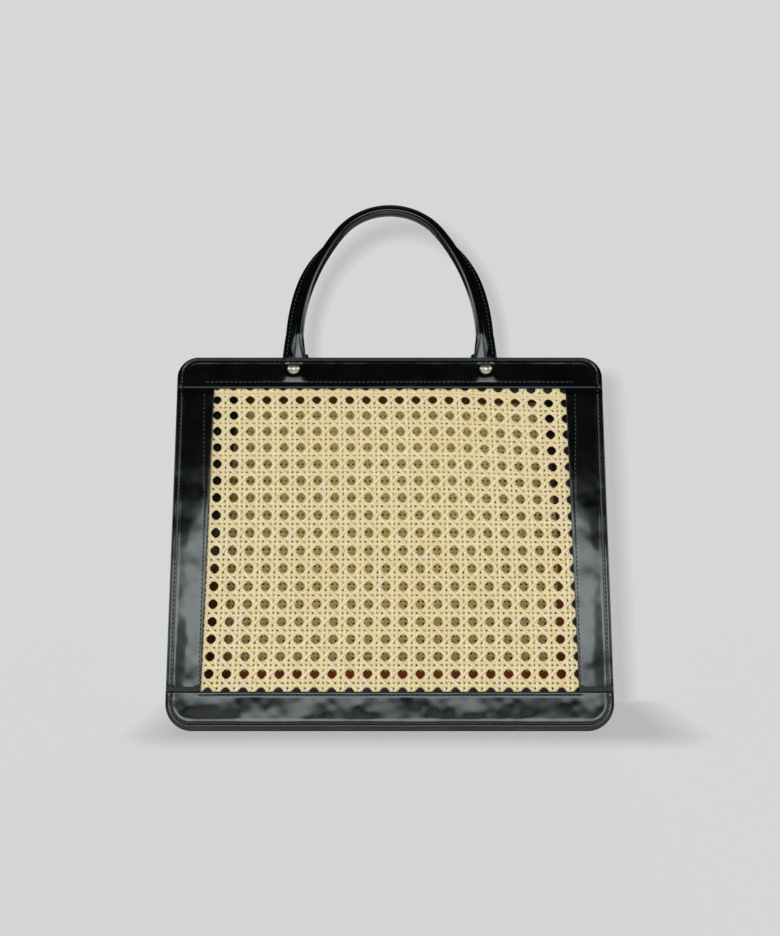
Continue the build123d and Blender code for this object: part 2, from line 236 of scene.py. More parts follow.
@dataclass
class MeshDraft:
    """Collects the points and faces of one piece before it becomes a mesh."""

    points: list[Array] = field(default_factory=list)
    faces: list[list[int]] = field(default_factory=list)
    marks: dict[str, list[Array]] = field(default_factory=dict)
    count: int = 0

    def add_points(self, points: Array, **marks: Array) -> int:
        """Add loose points, each with the same marks as the draft's other points.

        Args:
            points: The points, one a row.
            **marks: Values stored on the points, by the name of their attribute.

        Returns:
            The number of the first point added.
        """
        points = np.asarray(points, float).reshape(-1, 3)
        for name, values in marks.items():
            shape = (len(points), 3) if np.ndim(values) and np.shape(values)[-1] == 3 else (len(points),)
            self.marks.setdefault(name, []).append(np.broadcast_to(values, shape))
        first = self.count
        self.points.append(points)
        self.count += len(points)
        return first

    def add_grid(self, grid: Array, closed: bool = False, capped: bool = False, **marks: Array) -> int:
        """Add a sheet of quads through rows of points, or a tube through rings.

        Args:
            grid: Points as (rows, columns, 3). The face looks out where columns then rows turn left.
            closed: Whether the last column joins the first.
            capped: Whether the first and last rings are closed with one face each.
            **marks: Values stored on the points, by the name of their attribute.

        Returns:
            The number of the first point added.
        """
        rows, columns = grid.shape[:2]
        flat_marks = {
            name: np.asarray(value).reshape(rows * columns, *np.shape(value)[2:])
            if np.ndim(value) > 1 else value
            for name, value in marks.items()
        }
        first = self.add_points(grid.reshape(-1, 3), **flat_marks)
        numbers = first + np.arange(rows * columns).reshape(rows, columns)
        following = np.roll(numbers, -1, axis=1) if closed else numbers[:, 1:]
        numbers_here = numbers if closed else numbers[:, :-1]
        quads = np.stack(
            [numbers_here[:-1], following[:-1], following[1:], numbers_here[1:]], axis=-1
        )
        self.faces.extend(quads.reshape(-1, 4).tolist())
        if capped:
            self.faces.append(numbers[0, ::-1].tolist())
            self.faces.append(numbers[-1].tolist())
        return first

    def to_piece(
        self, name: str, material: bpy.types.Material, replaces: tuple[str, ...] = ()
    ) -> bpy.types.Object:
        """Make the mesh object, dress it and set it on the bag.

        Args:
            name: The piece's name.
            material: The finish that the whole piece takes.
            replaces: The solids that this piece stands for.

        Returns:
            The new object.
        """
        mesh = bpy.data.meshes.new(name)
        mesh.from_pydata(np.concatenate(self.points).tolist(), [], self.faces)
        for mark, values in self.marks.items():
            joined = np.concatenate(values).astype(np.float32)
            kind = "FLOAT_VECTOR" if joined.ndim == 2 else "FLOAT"
            attribute = mesh.attributes.new(mark, kind, "POINT")
            attribute.data.foreach_set("vector" if joined.ndim == 2 else "value", joined.ravel())
        mesh.shade_smooth()
        mesh.materials.append(material)
        piece = bpy.data.objects.new(name, mesh)
        bpy.context.scene.collection.objects.link(piece)
        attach(piece, BODY)
        if replaces:
            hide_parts(*replaces)
        triangles = sum(len(face) - 2 for face in self.faces)
        log.info("%s: %d triangles", name, triangles)
        return piece


class NodeBench:
    """Builds a node tree, for a finish or for the studio's light."""

    def __init__(self, tree: bpy.types.NodeTree) -> None:
        """Work on that tree."""
        self.nodes = tree.nodes
        self.links = tree.links

    def add(
        self, kind: str, inputs: dict[str | int, object] | None = None, **settings: object
    ) -> bpy.types.Node:
        """Add a node.

        Args:
            kind: The node's type.
            inputs: Values or sockets for its inputs, by name or number.
            **settings: The node's own properties.

        Returns:
            The new node.
        """
        node = self.nodes.new(kind)
        for name, value in settings.items():
            setattr(node, name, value)
        for name, value in (inputs or {}).items():
            if isinstance(value, bpy.types.NodeSocket):
                self.links.new(value, node.inputs[name])
            else:
                node.inputs[name].default_value = value
        return node

    def place(self) -> bpy.types.NodeSocket:
        """The point's own place, in metres."""
        return self.add("ShaderNodeTexCoord").outputs["Object"]

    def noise(
        self, where: bpy.types.NodeSocket, scale: float, detail: float = 3.0, rough: float = 0.55,
        stretch: Triple = (1.0, 1.0, 1.0),
    ) -> bpy.types.NodeSocket:
        """Cloudy noise.

        Args:
            where: The coordinates that it reads.
            scale: How many features a unit has.
            detail: How many finer layers it has.
            rough: How strong the finer layers are.
            stretch: How much each axis is scaled first.

        Returns:
            The noise's value, about 0.5 in the middle.
        """
        moved = self.add("ShaderNodeMapping", {"Vector": where, "Scale": stretch})
        inputs = {"Vector": moved.outputs[0], "Scale": scale, "Detail": detail, "Roughness": rough}
        return self.add("ShaderNodeTexNoise", inputs).outputs[0]

    def spread(
        self, value: bpy.types.NodeSocket, low: float, high: float, start: float = 0.3, end: float = 0.7
    ) -> bpy.types.NodeSocket:
        """Map a value from start..end to low..high, and no further.

        Args:
            value: What is mapped.
            low: The result at the start.
            high: The result at the end.
            start: Where the change begins.
            end: Where the change ends.

        Returns:
            The mapped value.
        """
        inputs = {"Value": value, "From Min": start, "From Max": end, "To Min": low, "To Max": high}
        return self.add("ShaderNodeMapRange", inputs).outputs[0]

    def blend(self, share: bpy.types.NodeSocket, first: object, second: object) -> bpy.types.NodeSocket:
        """Mix two colours by a share.

        Args:
            share: How much of the second colour there is.
            first: The first colour, or its socket.
            second: The second colour, or its socket.

        Returns:
            The mixed colour.
        """
        node = self.add("ShaderNodeMix", data_type="RGBA")
        self.links.new(share, node.inputs[0])
        for number, value in ((6, first), (7, second)):
            if isinstance(value, bpy.types.NodeSocket):
                self.links.new(value, node.inputs[number])
            else:
                node.inputs[number].default_value = (*value, 1.0)
        return node.outputs[2]

    def combine(self, first: object, second: object, operation: str = "ADD") -> bpy.types.NodeSocket:
        """Combine two values with a named operation, or turn the first alone into another."""
        return self.add("ShaderNodeMath", {0: first, 1: second}, operation=operation).outputs[0]

    def away(self, value: bpy.types.NodeSocket, middle: float) -> bpy.types.NodeSocket:
        """How far a value is from a middle, either way."""
        return self.combine(self.combine(value, middle, "SUBTRACT"), 0.0, "ABSOLUTE")

    def product(self, *values: object) -> bpy.types.NodeSocket:
        """Multiply values by each other, from the first on.

        Args:
            *values: Two or more numbers or sockets.

        Returns:
            Their product.
        """
        total = values[0]
        for value in values[1:]:
            total = self.combine(total, value, "MULTIPLY")
        return total

    def inside(self, value: bpy.types.NodeSocket, start: float, end: float) -> bpy.types.NodeSocket:
        """1 up to a start and 0 beyond an end, both in millimetres."""
        return self.spread(value, 1, 0, start * MM, end * MM)

    def axes(self, vector: bpy.types.NodeSocket) -> bpy.types.NodeOutputs:
        """The X, Y and Z of a vector."""
        return self.add("ShaderNodeSeparateXYZ", {0: vector}).outputs

    def length(self, vector: bpy.types.NodeSocket) -> bpy.types.NodeSocket:
        """The length of a vector."""
        return self.add("ShaderNodeVectorMath", {0: vector}, operation="LENGTH").outputs["Value"]

    def levels(self, value: bpy.types.NodeSocket, stops: Pairs) -> bpy.types.NodeSocket:
        """Look a value up in a table of levels, with straight lines between its stops.

        Args:
            value: What is looked up.
            stops: The values, rising, each with its level.

        Returns:
            The level.
        """
        low, high = stops[0][0], stops[-1][0]
        ramp = self.add("ShaderNodeValToRGB", {0: self.spread(value, 0.0, 1.0, low, high)})
        elements = ramp.color_ramp.elements
        for place, _ in stops[1:-1]:
            elements.new((place - low) / (high - low))
        for element, (_, level) in zip(elements, stops):
            element.color = grey(level)
        return ramp.outputs[0]


class FinishBench(NodeBench):
    """Builds one finish as a node tree around its own Principled shader."""

    def __init__(self, name: str) -> None:
        """Start a finish.

        Args:
            name: The finish's name.
        """
        self.material = bpy.data.materials.new(name)
        self.material.use_nodes = True
        super().__init__(self.material.node_tree)
        self.shader = self.nodes["Principled BSDF"]

    def set(self, **values: object) -> None:
        """Set sockets of the shader that are the same all over.

        Args:
            **values: The value of each socket, by its name with _ for a space.
        """
        for name, value in values.items():
            if isinstance(value, tuple) and len(value) == 3:
                value = (*value, 1.0)
            self.shader.inputs[name.replace("_", " ")].default_value = value

    def mark(self, name: str, output: str = "Fac") -> bpy.types.NodeSocket:
        """A value stored on the mesh."""
        return self.add("ShaderNodeAttribute", attribute_name=name).outputs[output]

    def outward(self, side: PanelSide) -> bpy.types.NodeSocket:
        """How far a face looks outward from a panel.

        Args:
            side: The panel.

        Returns:
            1 where the face looks outward, -1 where it looks inward.
        """
        normal = PanelPlace(side).directions(np.array([0.0, 0.0, 1.0])).tolist()
        looking = self.add("ShaderNodeNewGeometry").outputs["True Normal"]
        dot = self.add("ShaderNodeVectorMath", {0: looking, 1: normal}, operation="DOT_PRODUCT")
        return dot.outputs["Value"]

    def feed(self, socket: str, value: bpy.types.NodeSocket) -> None:
        """Lead a varying value into the shader."""
        self.links.new(value, self.shader.inputs[socket])

    def vary(self, socket: str, noise: bpy.types.NodeSocket, level: float, less: float, more: float) -> None:
        """Let a socket wander with a noise, from less below a level to more above it."""
        self.feed(socket, self.spread(noise, level - less, level + more))

    def bump(self, height: bpy.types.NodeSocket, depth: float) -> None:
        """Add fine relief over what relief the finish has.

        Args:
            height: The relief, 0 to 1.
            depth: How deep it is, in metres.
        """
        node = self.add("ShaderNodeBump", {"Height": height, "Distance": depth, "Strength": 1.0})
        normal = self.shader.inputs["Normal"]
        if normal.is_linked:
            self.links.new(normal.links[0].from_socket, node.inputs["Normal"])
        self.links.new(node.outputs[0], normal)


@dataclass(frozen=True)
class GlossLeather:
    """Polished black leather with a fine grain and a waxed top coat."""

    name: str = "gloss_black_leather"
    colour: Colour = (0.0005, 0.0006, 0.0007)
    worn: Colour = (0.0014, 0.0018, 0.0019)
    roughness: float = 0.36
    coat: float = 1.0
    coat_roughness: float = 0.07
    grain: float = 0.000016

    def material(self) -> bpy.types.Material:
        """Make the finish.

        Returns:
            The new material.
        """
        bench = FinishBench(self.name)
        bench.set(Coat_Weight=self.coat, Coat_IOR=1.65, IOR=1.5, Specular_IOR_Level=0.02)
        where = bench.place()
        clouds = bench.noise(where, 60, 4)
        bench.feed("Base Color", bench.blend(bench.spread(clouds, 0, 1, 0.42, 0.72), self.colour, self.worn))
        bench.vary("Roughness", bench.noise(where, 220, 3), self.roughness, 0.08, 0.1)
        bench.vary("Coat Roughness", bench.noise(where, 90, 5, 0.65), self.coat_roughness, 0.03, 0.07)
        cells = bench.add("ShaderNodeTexVoronoi", {"Vector": where, "Scale": 1500.0}).outputs["Distance"]
        bench.bump(cells, self.grain)
        bench.bump(bench.noise(where, 420, 4), self.grain)
        return bench.material


@dataclass(frozen=True)
class SoftLeather:
    """Thin matt leather that folds easily, with a visible pebble."""

    name: str = "soft_black_leather"
    colour: Colour = (0.0030, 0.0026, 0.0025)
    worn: Colour = (0.009, 0.0065, 0.0055)
    roughness: float = 0.6
    pebble: float = 0.00010
    crease: float = 0.0003

    def material(self) -> bpy.types.Material:
        """Make the finish.

        Returns:
            The new material.
        """
        bench = FinishBench(self.name)
        bench.set(IOR=1.5, Specular_IOR_Level=0.22)
        where = bench.place()
        wear = bench.spread(bench.noise(where, 45, 4), 0, 1)
        bench.feed("Base Color", bench.blend(wear, self.colour, self.worn))
        bench.vary("Roughness", bench.noise(where, 180), self.roughness, 0.1, 0.1)
        cells = bench.add("ShaderNodeTexVoronoi", {"Vector": where, "Scale": 900.0}).outputs["Distance"]
        bench.bump(cells, self.pebble)
        bench.bump(bench.noise(where, 110, 4), self.crease)
        return bench.material


@dataclass(frozen=True)
class CaneSkin:
    """Split cane: its glossy skin outside, pale straw with long fine fibres, its pith inside."""

    side: PanelSide
    pale: Colour = (0.82, 0.69, 0.40)
    deep: Colour = (0.70, 0.55, 0.26)
    pink: Colour = (0.80, 0.64, 0.44)
    knot: Colour = (0.42, 0.28, 0.12)
    pith: Colour = (0.80, 0.64, 0.26)
    fibre: float = 0.00004

    def material(self) -> bpy.types.Material:
        """Make the finish; the mesh holds each strand's tone and its grain coordinates.

        Returns:
            The new material.
        """
        bench = FinishBench(f"{self.side.value}_cane_skin")
        bench.set(IOR=1.5, Coat_Weight=0.25, Coat_Roughness=0.25)
        grain = bench.mark("grain", "Vector")
        fibres = bench.noise(grain, 1.0, 4, 0.6, (0.05, 3.2, 1.0))
        blotches = bench.noise(grain, 0.09, 3, 0.6)
        share = bench.combine(bench.spread(fibres, -0.25, 0.35), bench.mark("tone"))
        share = bench.combine(share, bench.spread(blotches, -0.2, 0.25))
        colour = bench.blend(bench.spread(share, 0, 1, 0, 1), self.pale, self.deep)
        rosy = bench.spread(bench.noise(bench.place(), 150, 3), 0, 0.8, 0.48, 0.66)
        colour = bench.blend(rosy, colour, self.pink)
        specks = bench.spread(bench.noise(grain, 0.8, 2, 0.5, (0.25, 1.2, 1.0)), 0, 0.7, 0.70, 0.80)
        colour = bench.blend(specks, colour, self.knot)
        inner = bench.spread(bench.outward(self.side), 1, 0, -0.6, -0.3)
        bench.feed("Base Color", bench.blend(inner, colour, self.pith))
        bench.feed("Roughness", bench.spread(fibres, 0.34, 0.55))
        bench.bump(fibres, self.fibre)
        return bench.material


@dataclass(frozen=True)
class SewingThread:
    """Waxed black thread with its twist."""

    name: str = "waxed_thread"
    colour: Colour = (0.032, 0.033, 0.034)
    lit: Colour = (0.055, 0.056, 0.058)
    ply: float = 0.00008

    def material(self) -> bpy.types.Material:
        """Make the finish.

        Returns:
            The new material.
        """
        bench = FinishBench(self.name)
        bench.set(Specular_IOR_Level=0.35)
        where = bench.place()
        tint = bench.spread(bench.noise(where, 900, 2), 0, 1)
        bench.feed("Base Color", bench.blend(tint, self.colour, self.lit))
        bench.feed("Roughness", bench.spread(bench.noise(where, 700), 0.35, 0.55))
        bench.bump(bench.noise(where, 2500, 2), self.ply)
        return bench.material


@dataclass(frozen=True)
class RivetMetal:
    """Pale gold plating, polished, with hairline scratches."""

    name: str = "pale_gold_plating"
    colour: Colour = (0.80, 0.74, 0.58)
    tarnish: Colour = (0.66, 0.57, 0.38)
    smoothest: float = 0.24
    roughest: float = 0.34
    scratch: float = 0.000008

    def material(self) -> bpy.types.Material:
        """Make the finish.

        Returns:
            The new material.
        """
        bench = FinishBench(self.name)
        bench.set(Metallic=1.0)
        where = bench.place()
        age = bench.spread(bench.noise(where, 400, 4), 0, 0.6, 0.45, 0.75)
        bench.feed("Base Color", bench.blend(age, self.colour, self.tarnish))
        bench.feed("Roughness", bench.spread(bench.noise(where, 900, 5), self.smoothest, self.roughest))
        bench.bump(bench.noise(where, 1500, 3, 0.6, (1.0, 1.0, 0.15)), self.scratch)
        return bench.material


@dataclass(frozen=True)
class LayeredSheet:
    """A flat sheet with painted cut edges: the faces one colour, the edges black."""

    name: str
    face: Colour
    shade: Colour
    roughness: float
    side: PanelSide | None = None
    outward: Colour | None = None
    cut_edge: Colour = (0.008, 0.008, 0.009)
    pebble: float = 0.00006

    def material(self) -> bpy.types.Material:
        """Make the finish; edges are the faces that don't look along the panel's normal.

        Returns:
            The new material.
        """
        bench = FinishBench(self.name)
        bench.set(IOR=1.48)
        where = bench.place()
        tint = bench.blend(bench.spread(bench.noise(where, 70, 5), 0, 1), self.face, self.shade)
        if self.side is not None:
            facing = bench.outward(self.side)
            flat = bench.combine(facing, 0.0, "ABSOLUTE")
            if self.outward is not None:
                tint = bench.blend(bench.spread(facing, 0, 1, 0.45, 0.55), tint, self.outward)
            tint = bench.blend(bench.spread(flat, 0, 1, 0.45, 0.55), self.cut_edge, tint)
        bench.feed("Base Color", tint)
        bench.vary("Roughness", bench.noise(where, 200), self.roughness, 0.1, 0.1)
        bench.bump(bench.noise(where, 1300, 4), self.pebble)
        return bench.material


@dataclass
class Finishes:
    """Every finish of the bag, each made once."""

    leather: bpy.types.Material
    soft: bpy.types.Material
    cane: dict[PanelSide, bpy.types.Material]
    lining: dict[PanelSide, bpy.types.Material]
    thread: bpy.types.Material
    metal: bpy.types.Material

    @classmethod
    def make(cls) -> "Finishes":
        """Make the finishes that several sub-assemblies share.

        Returns:
            The bag's finishes.
        """
        return cls(
            leather=GlossLeather().material(),
            soft=SoftLeather().material(),
            cane={side: CaneSkin(side).material() for side in PanelSide},
            lining={
                side: LayeredSheet(
                    f"{side.value}_lining_leather", face=(0.36, 0.10, 0.035), shade=(0.25, 0.055, 0.025),
                    roughness=0.5, side=side, outward=(0.006, 0.006, 0.007),
                ).material()
                for side in PanelSide
            },
            thread=SewingThread().material(),
            metal=RivetMetal().material(),
        )


@dataclass(frozen=True)
class SheetLay:
    """How a hand-laid sheet is stretched over its window.

    Columns are counted from the left and rows down from the first whole one; a whole number is
    the middle of a gap.
    """

    first_x: float = -131.5
    first_slide: float = 0.0
    first_bow: float = 8.0
    last_x: float = 121.0
    last_slide: float = 0.0
    last_spread: float = 3.8
    columns_between: float = 20.0
    first_row_height: float = 243.6
    row_pitch: float = 12.7
    row_growth: float = 0.0
    row_wave: float = 1.35
    wave_start: float = 0.3
    row_lift: float = 0.55
    row_slope: float = 0.045
    top_pull: float = 2.3
    foot_pull: float = 0.8
    sag: float = 2.6

    def spot(self, column: Array, row: Array) -> tuple[Array, Array]:
        """Where a spot of the weave lies.

        Args:
            column: The column, counted from the left.
            row: The row, counted down.

        Returns:
            The place across the panel and the height up it, in millimetres.
        """
        down = row / 16.0
        first = self.first_x + self.first_slide * down + self.first_bow * down * (1.0 - down)
        last = self.last_x + self.last_slide * down + self.last_spread * down * (2.0 - down)
        x = first + (column - 1.0) * (last - first) / self.columns_between
        stray = self.row_lift + self.row_wave * np.sin(2 * math.pi * (row - self.wave_start) / 16.5)
        stray = stray - self.row_slope * (row - 8.0) - self.row_growth * row**2 / 2
        stray = stray - self.top_pull * smooth(-row) - self.foot_pull * smooth(row - 16.0)
        sag = self.sag * smooth((column - 14.0) / 7.0) * smooth((10.0 - row) / 7.0)
        return x, self.first_row_height - self.row_pitch * row + stray - sag


FRONT_LAY = SheetLay()
BACK_LAY = SheetLay(
    first_x=-119.7, first_slide=-13.37, first_bow=-2.48, last_x=141.66, last_slide=16.93, last_spread=-8.69,
    first_row_height=253.51, row_pitch=12.649, row_growth=0.1082, row_wave=0.75, wave_start=0.8,
    row_lift=0.0, row_slope=0.0, top_pull=0.0, foot_pull=0.0, sag=0.0,
)


@dataclass
class CaneSheet:
    """The six-way woven sheet of one panel, every strand a closed strip.

    Columns and rows are counted in gaps: a whole column and row is the middle of a gap, so the
    upright and level pairs run at halves, and the diagonals cross half-way along each pair.
    """

    place: PanelPlace
    lay: SheetLay
    seed: int
    pair_half: float = 2.98
    slit_half: float = 0.47
    pair_offset: float = 0.1355
    diagonal_width: float = 2.62
    thickness: float = 0.22
    middle: float = 2.1
    half_width: float = 142.7
    low: float = 20.8
    high: float = 258.8
    stations: int = 8
    width_stray: float = 0.06
    place_stray: float = 0.1
    wander: float = 0.07
    wander_length: float = 17.0
    tone_stray: float = 0.55
    diagonal_rise: float = 1.04

    @staticmethod
    def interlace(from_crossing: Array, offset: float) -> Array:
        """The rise and fall of a pair's strand as it passes over and under.

        Args:
            from_crossing: Distances from the nearest crossing, in gaps.
            offset: How far each strand of a pair is from the pair's middle, in gaps.

        Returns:
            The height at each distance, -1 to 1.
        """
        reach = np.abs(from_crossing)
        near = np.sin(math.pi * from_crossing / (2 * offset))
        far = np.sign(from_crossing) * 0.5 * (1 + np.cos(math.pi * (reach - offset) / (0.5 - offset)))
        return np.where(reach < offset, near, far)

    def section(self, width: float) -> Array:
        """A strand cut across.

        Args:
            width: The strand's width.

        Returns:
            Its outline as (sideways, up) points, crowned above and flat below.
        """
        half, thick = width / 2, self.thickness
        return np.array([
            (0.0, 0.5 * thick), (half, 0.2 * thick), (0.95 * half, -0.5 * thick),
            (-0.95 * half, -0.5 * thick), (-half, 0.2 * thick),
        ])

    @property
    def pair_width(self) -> float:
        """The width of one strand of a pair."""
        return self.pair_half - self.slit_half

    def run(self) -> Array:
        """Stations all along a run, on the weave's own divisions, past both of its ends."""
        return np.arange(-3 * self.stations, 25 * self.stations) / self.stations

    def trimmed(self, columns: Array, rows: Array) -> tuple[Array, Array]:
        """The part of a run that lies on the sheet.

        Args:
            columns: The column at each station.
            rows: The row at each station.

        Returns:
            The columns and rows inside, with both ends at the sheet's edge, or nothing.
        """
        x, height = self.lay.spot(columns, rows)
        middle, reach = (self.low + self.high) / 2, (self.high - self.low) / 2
        over = np.maximum(np.abs(x) - self.half_width, np.abs(height - middle) - reach)
        within = np.flatnonzero(over < 0)
        if len(within) < 4:
            return columns[:0], rows[:0]
        ends = []
        for near, far in ((within[0], within[0] - 1), (within[-1], within[-1] + 1)):
            ends.append(near + (far - near) * over[near] / (over[near] - over[far]))
        where = np.concatenate([ends[:1], within[1:-1], ends[1:]])
        numbers = np.arange(len(columns))
        return np.interp(where, numbers, columns), np.interp(where, numbers, rows)

    def strand(
        self, draft: MeshDraft, columns: Array, rows: Array, rise: Array, width: float,
        rng: np.random.Generator,
    ) -> None:
        """Add one strand that follows columns and rows of the weave.

        Args:
            draft: The mesh that takes it.
            columns: The column at each station.
            rows: The row at each station.
            rise: How far the strand lies above the sheet's middle at each station.
            width: The strand's width.
            rng: The source of its small irregularities.
        """
        x, height = self.lay.spot(columns, rows)
        path = np.stack([x, height, self.middle + rise], axis=1)
        run = unit(np.gradient(path[:, :2], axis=0))
        sideways = np.stack([run[:, 1], -run[:, 0], np.zeros(len(run))], axis=1)
        along = travelled(path)
        width *= 1 + rng.uniform(-self.width_stray, self.width_stray)
        start = rng.uniform(0, 400)
        wander = rng.uniform(-self.place_stray, self.place_stray)
        wander = wander + self.wander * np.sin(along / self.wander_length + rng.uniform(0, 6))
        section = self.section(width)
        ring = path[:, None] + sideways[:, None] * (section[None, :, 0:1] + wander[:, None, None])
        ring[..., 2] += section[None, :, 1]
        grain = np.zeros_like(ring)
        grain[..., 0] = along[:, None] + start
        grain[..., 1] = section[None, :, 0]
        grain[..., 2] = rng.uniform(0, 90)
        tone = np.full(ring.shape[:2], rng.uniform(0.0, self.tone_stray))
        draft.add_grid(self.place.points(ring), closed=True, capped=True, grain=grain, tone=tone)

    def pairs(self, draft: MeshDraft, weave: Weave, rng: np.random.Generator) -> None:
        """Add every pair of upright or level strands.

        Args:
            draft: The mesh that takes them.
            weave: Which of the two ways they run.
            rng: The source of their small irregularities.
        """
        upright = weave is Weave.UPRIGHT
        run = self.run()
        for number in range(-3, 25):
            for hand in (-1, 1):
                lanes = np.full_like(run, number + 0.5 + hand * self.pair_offset)
                columns, rows = (lanes, run[::-1]) if upright else (run, lanes)
                columns, rows = self.trimmed(columns, rows)
                if not len(columns):
                    continue
                from_crossing = ((rows if upright else columns) % 1.0) - 0.5
                lift = self.interlace(from_crossing, self.pair_offset) * hand * self.thickness / 2
                self.strand(draft, columns, rows, lift if upright else -lift, self.pair_width, rng)

    def diagonals(self, draft: MeshDraft, weave: Weave, rng: np.random.Generator) -> None:
        """Add every strand of one diagonal direction.

        Args:
            draft: The mesh that takes them.
            weave: Which of the two ways they run.
            rng: The source of their small irregularities.
        """
        slope = 1 if weave is Weave.FALLING else -1
        run = self.run()
        for number in range(-24, 48):
            columns, rows = self.trimmed(run, slope * (run - number - 0.5))
            if not len(columns):
                continue
            weaving = np.clip(1.5 * np.cos(2 * math.pi * columns), -1, 1)
            lift = slope * self.thickness * self.diagonal_rise * weaving
            self.strand(draft, columns, rows, lift, self.diagonal_width, rng)

    def build(self, finishes: Finishes) -> None:
        """Make the sheet's pieces, one for each way that strands run.

        Args:
            finishes: The bag's finishes.
        """
        side = self.place.side.value
        for number, weave in enumerate(Weave):
            rng = np.random.default_rng(self.seed + number)
            draft = MeshDraft()
            if weave in (Weave.UPRIGHT, Weave.LEVEL):
                self.pairs(draft, weave, rng)
            else:
                self.diagonals(draft, weave, rng)
            skin = finishes.cane[self.place.side]
            draft.to_piece(f"{side}_cane_{weave.value}", skin, (f"{side}_cane_panel",))


@dataclass
class StitchRow:
    """Stitches as short capsules of thread laid along a path."""

    pitch: float = 3.3
    share: float = 0.66
    thread: float = 0.86
    slant: float = 9.0
    sides: int = 6
    flattening: float = 0.85
    probe: float = 0.4
    shape: tuple[Triple, ...] = (
        (-0.5, 0.30, -0.55), (-0.36, 0.86, -0.1), (0, 1.0, 0.08), (0.36, 0.86, -0.1), (0.5, 0.30, -0.55),
    )

    def template(self) -> Array:
        """One stitch of unit length; its shape gives the place, thickness and height of each ring.

        Returns:
            Rings of (along, sideways, up) points.
        """
        stations = np.array(self.shape)
        angles = np.arange(self.sides) / self.sides * 2 * math.pi
        rings = np.zeros((len(stations), self.sides, 3))
        rings[..., 0] = stations[:, 0:1]
        rings[..., 1] = stations[:, 1:2] * np.sin(angles)[None] * self.thread / 2
        rings[..., 2] = stations[:, 1:2] * np.cos(angles)[None] * self.thread / 2 * self.flattening
        rings[..., 2] += stations[:, 2:3] * self.thread / 2
        return rings

    def sew(self, draft: MeshDraft, path: Array, up: Array) -> int:
        """Lay stitches along a path.

        Args:
            draft: The mesh that takes them.
            path: Points in the bag's frame, in metres.
            up: The outward direction at each point.

        Returns:
            The number of stitches.
        """
        far = travelled(path)
        number = max(1, int(far[-1] / (self.pitch * MM)))
        middles = (np.arange(number) + 0.5) * far[-1] / number
        length = far[-1] / number * self.share
        turn, probe = math.radians(self.slant), self.probe * MM
        template = self.template()
        ahead = unit(between(path, far, middles + probe) - between(path, far, middles - probe))
        ups = between(up, far, middles)
        ups = unit(ups - ahead * np.sum(ups * ahead, axis=1)[:, None])
        along = ahead * math.cos(turn) + np.cross(ups, ahead) * math.sin(turn)
        sideways = np.cross(ups, along)
        for centre, d, s, u in zip(between(path, far, middles), along, sideways, ups):
            rings = centre + (
                template[..., 0:1] * d * length + template[..., 1:2] * s * MM + template[..., 2:3] * u * MM
            )
            draft.add_grid(rings, closed=True, capped=True)
        return number


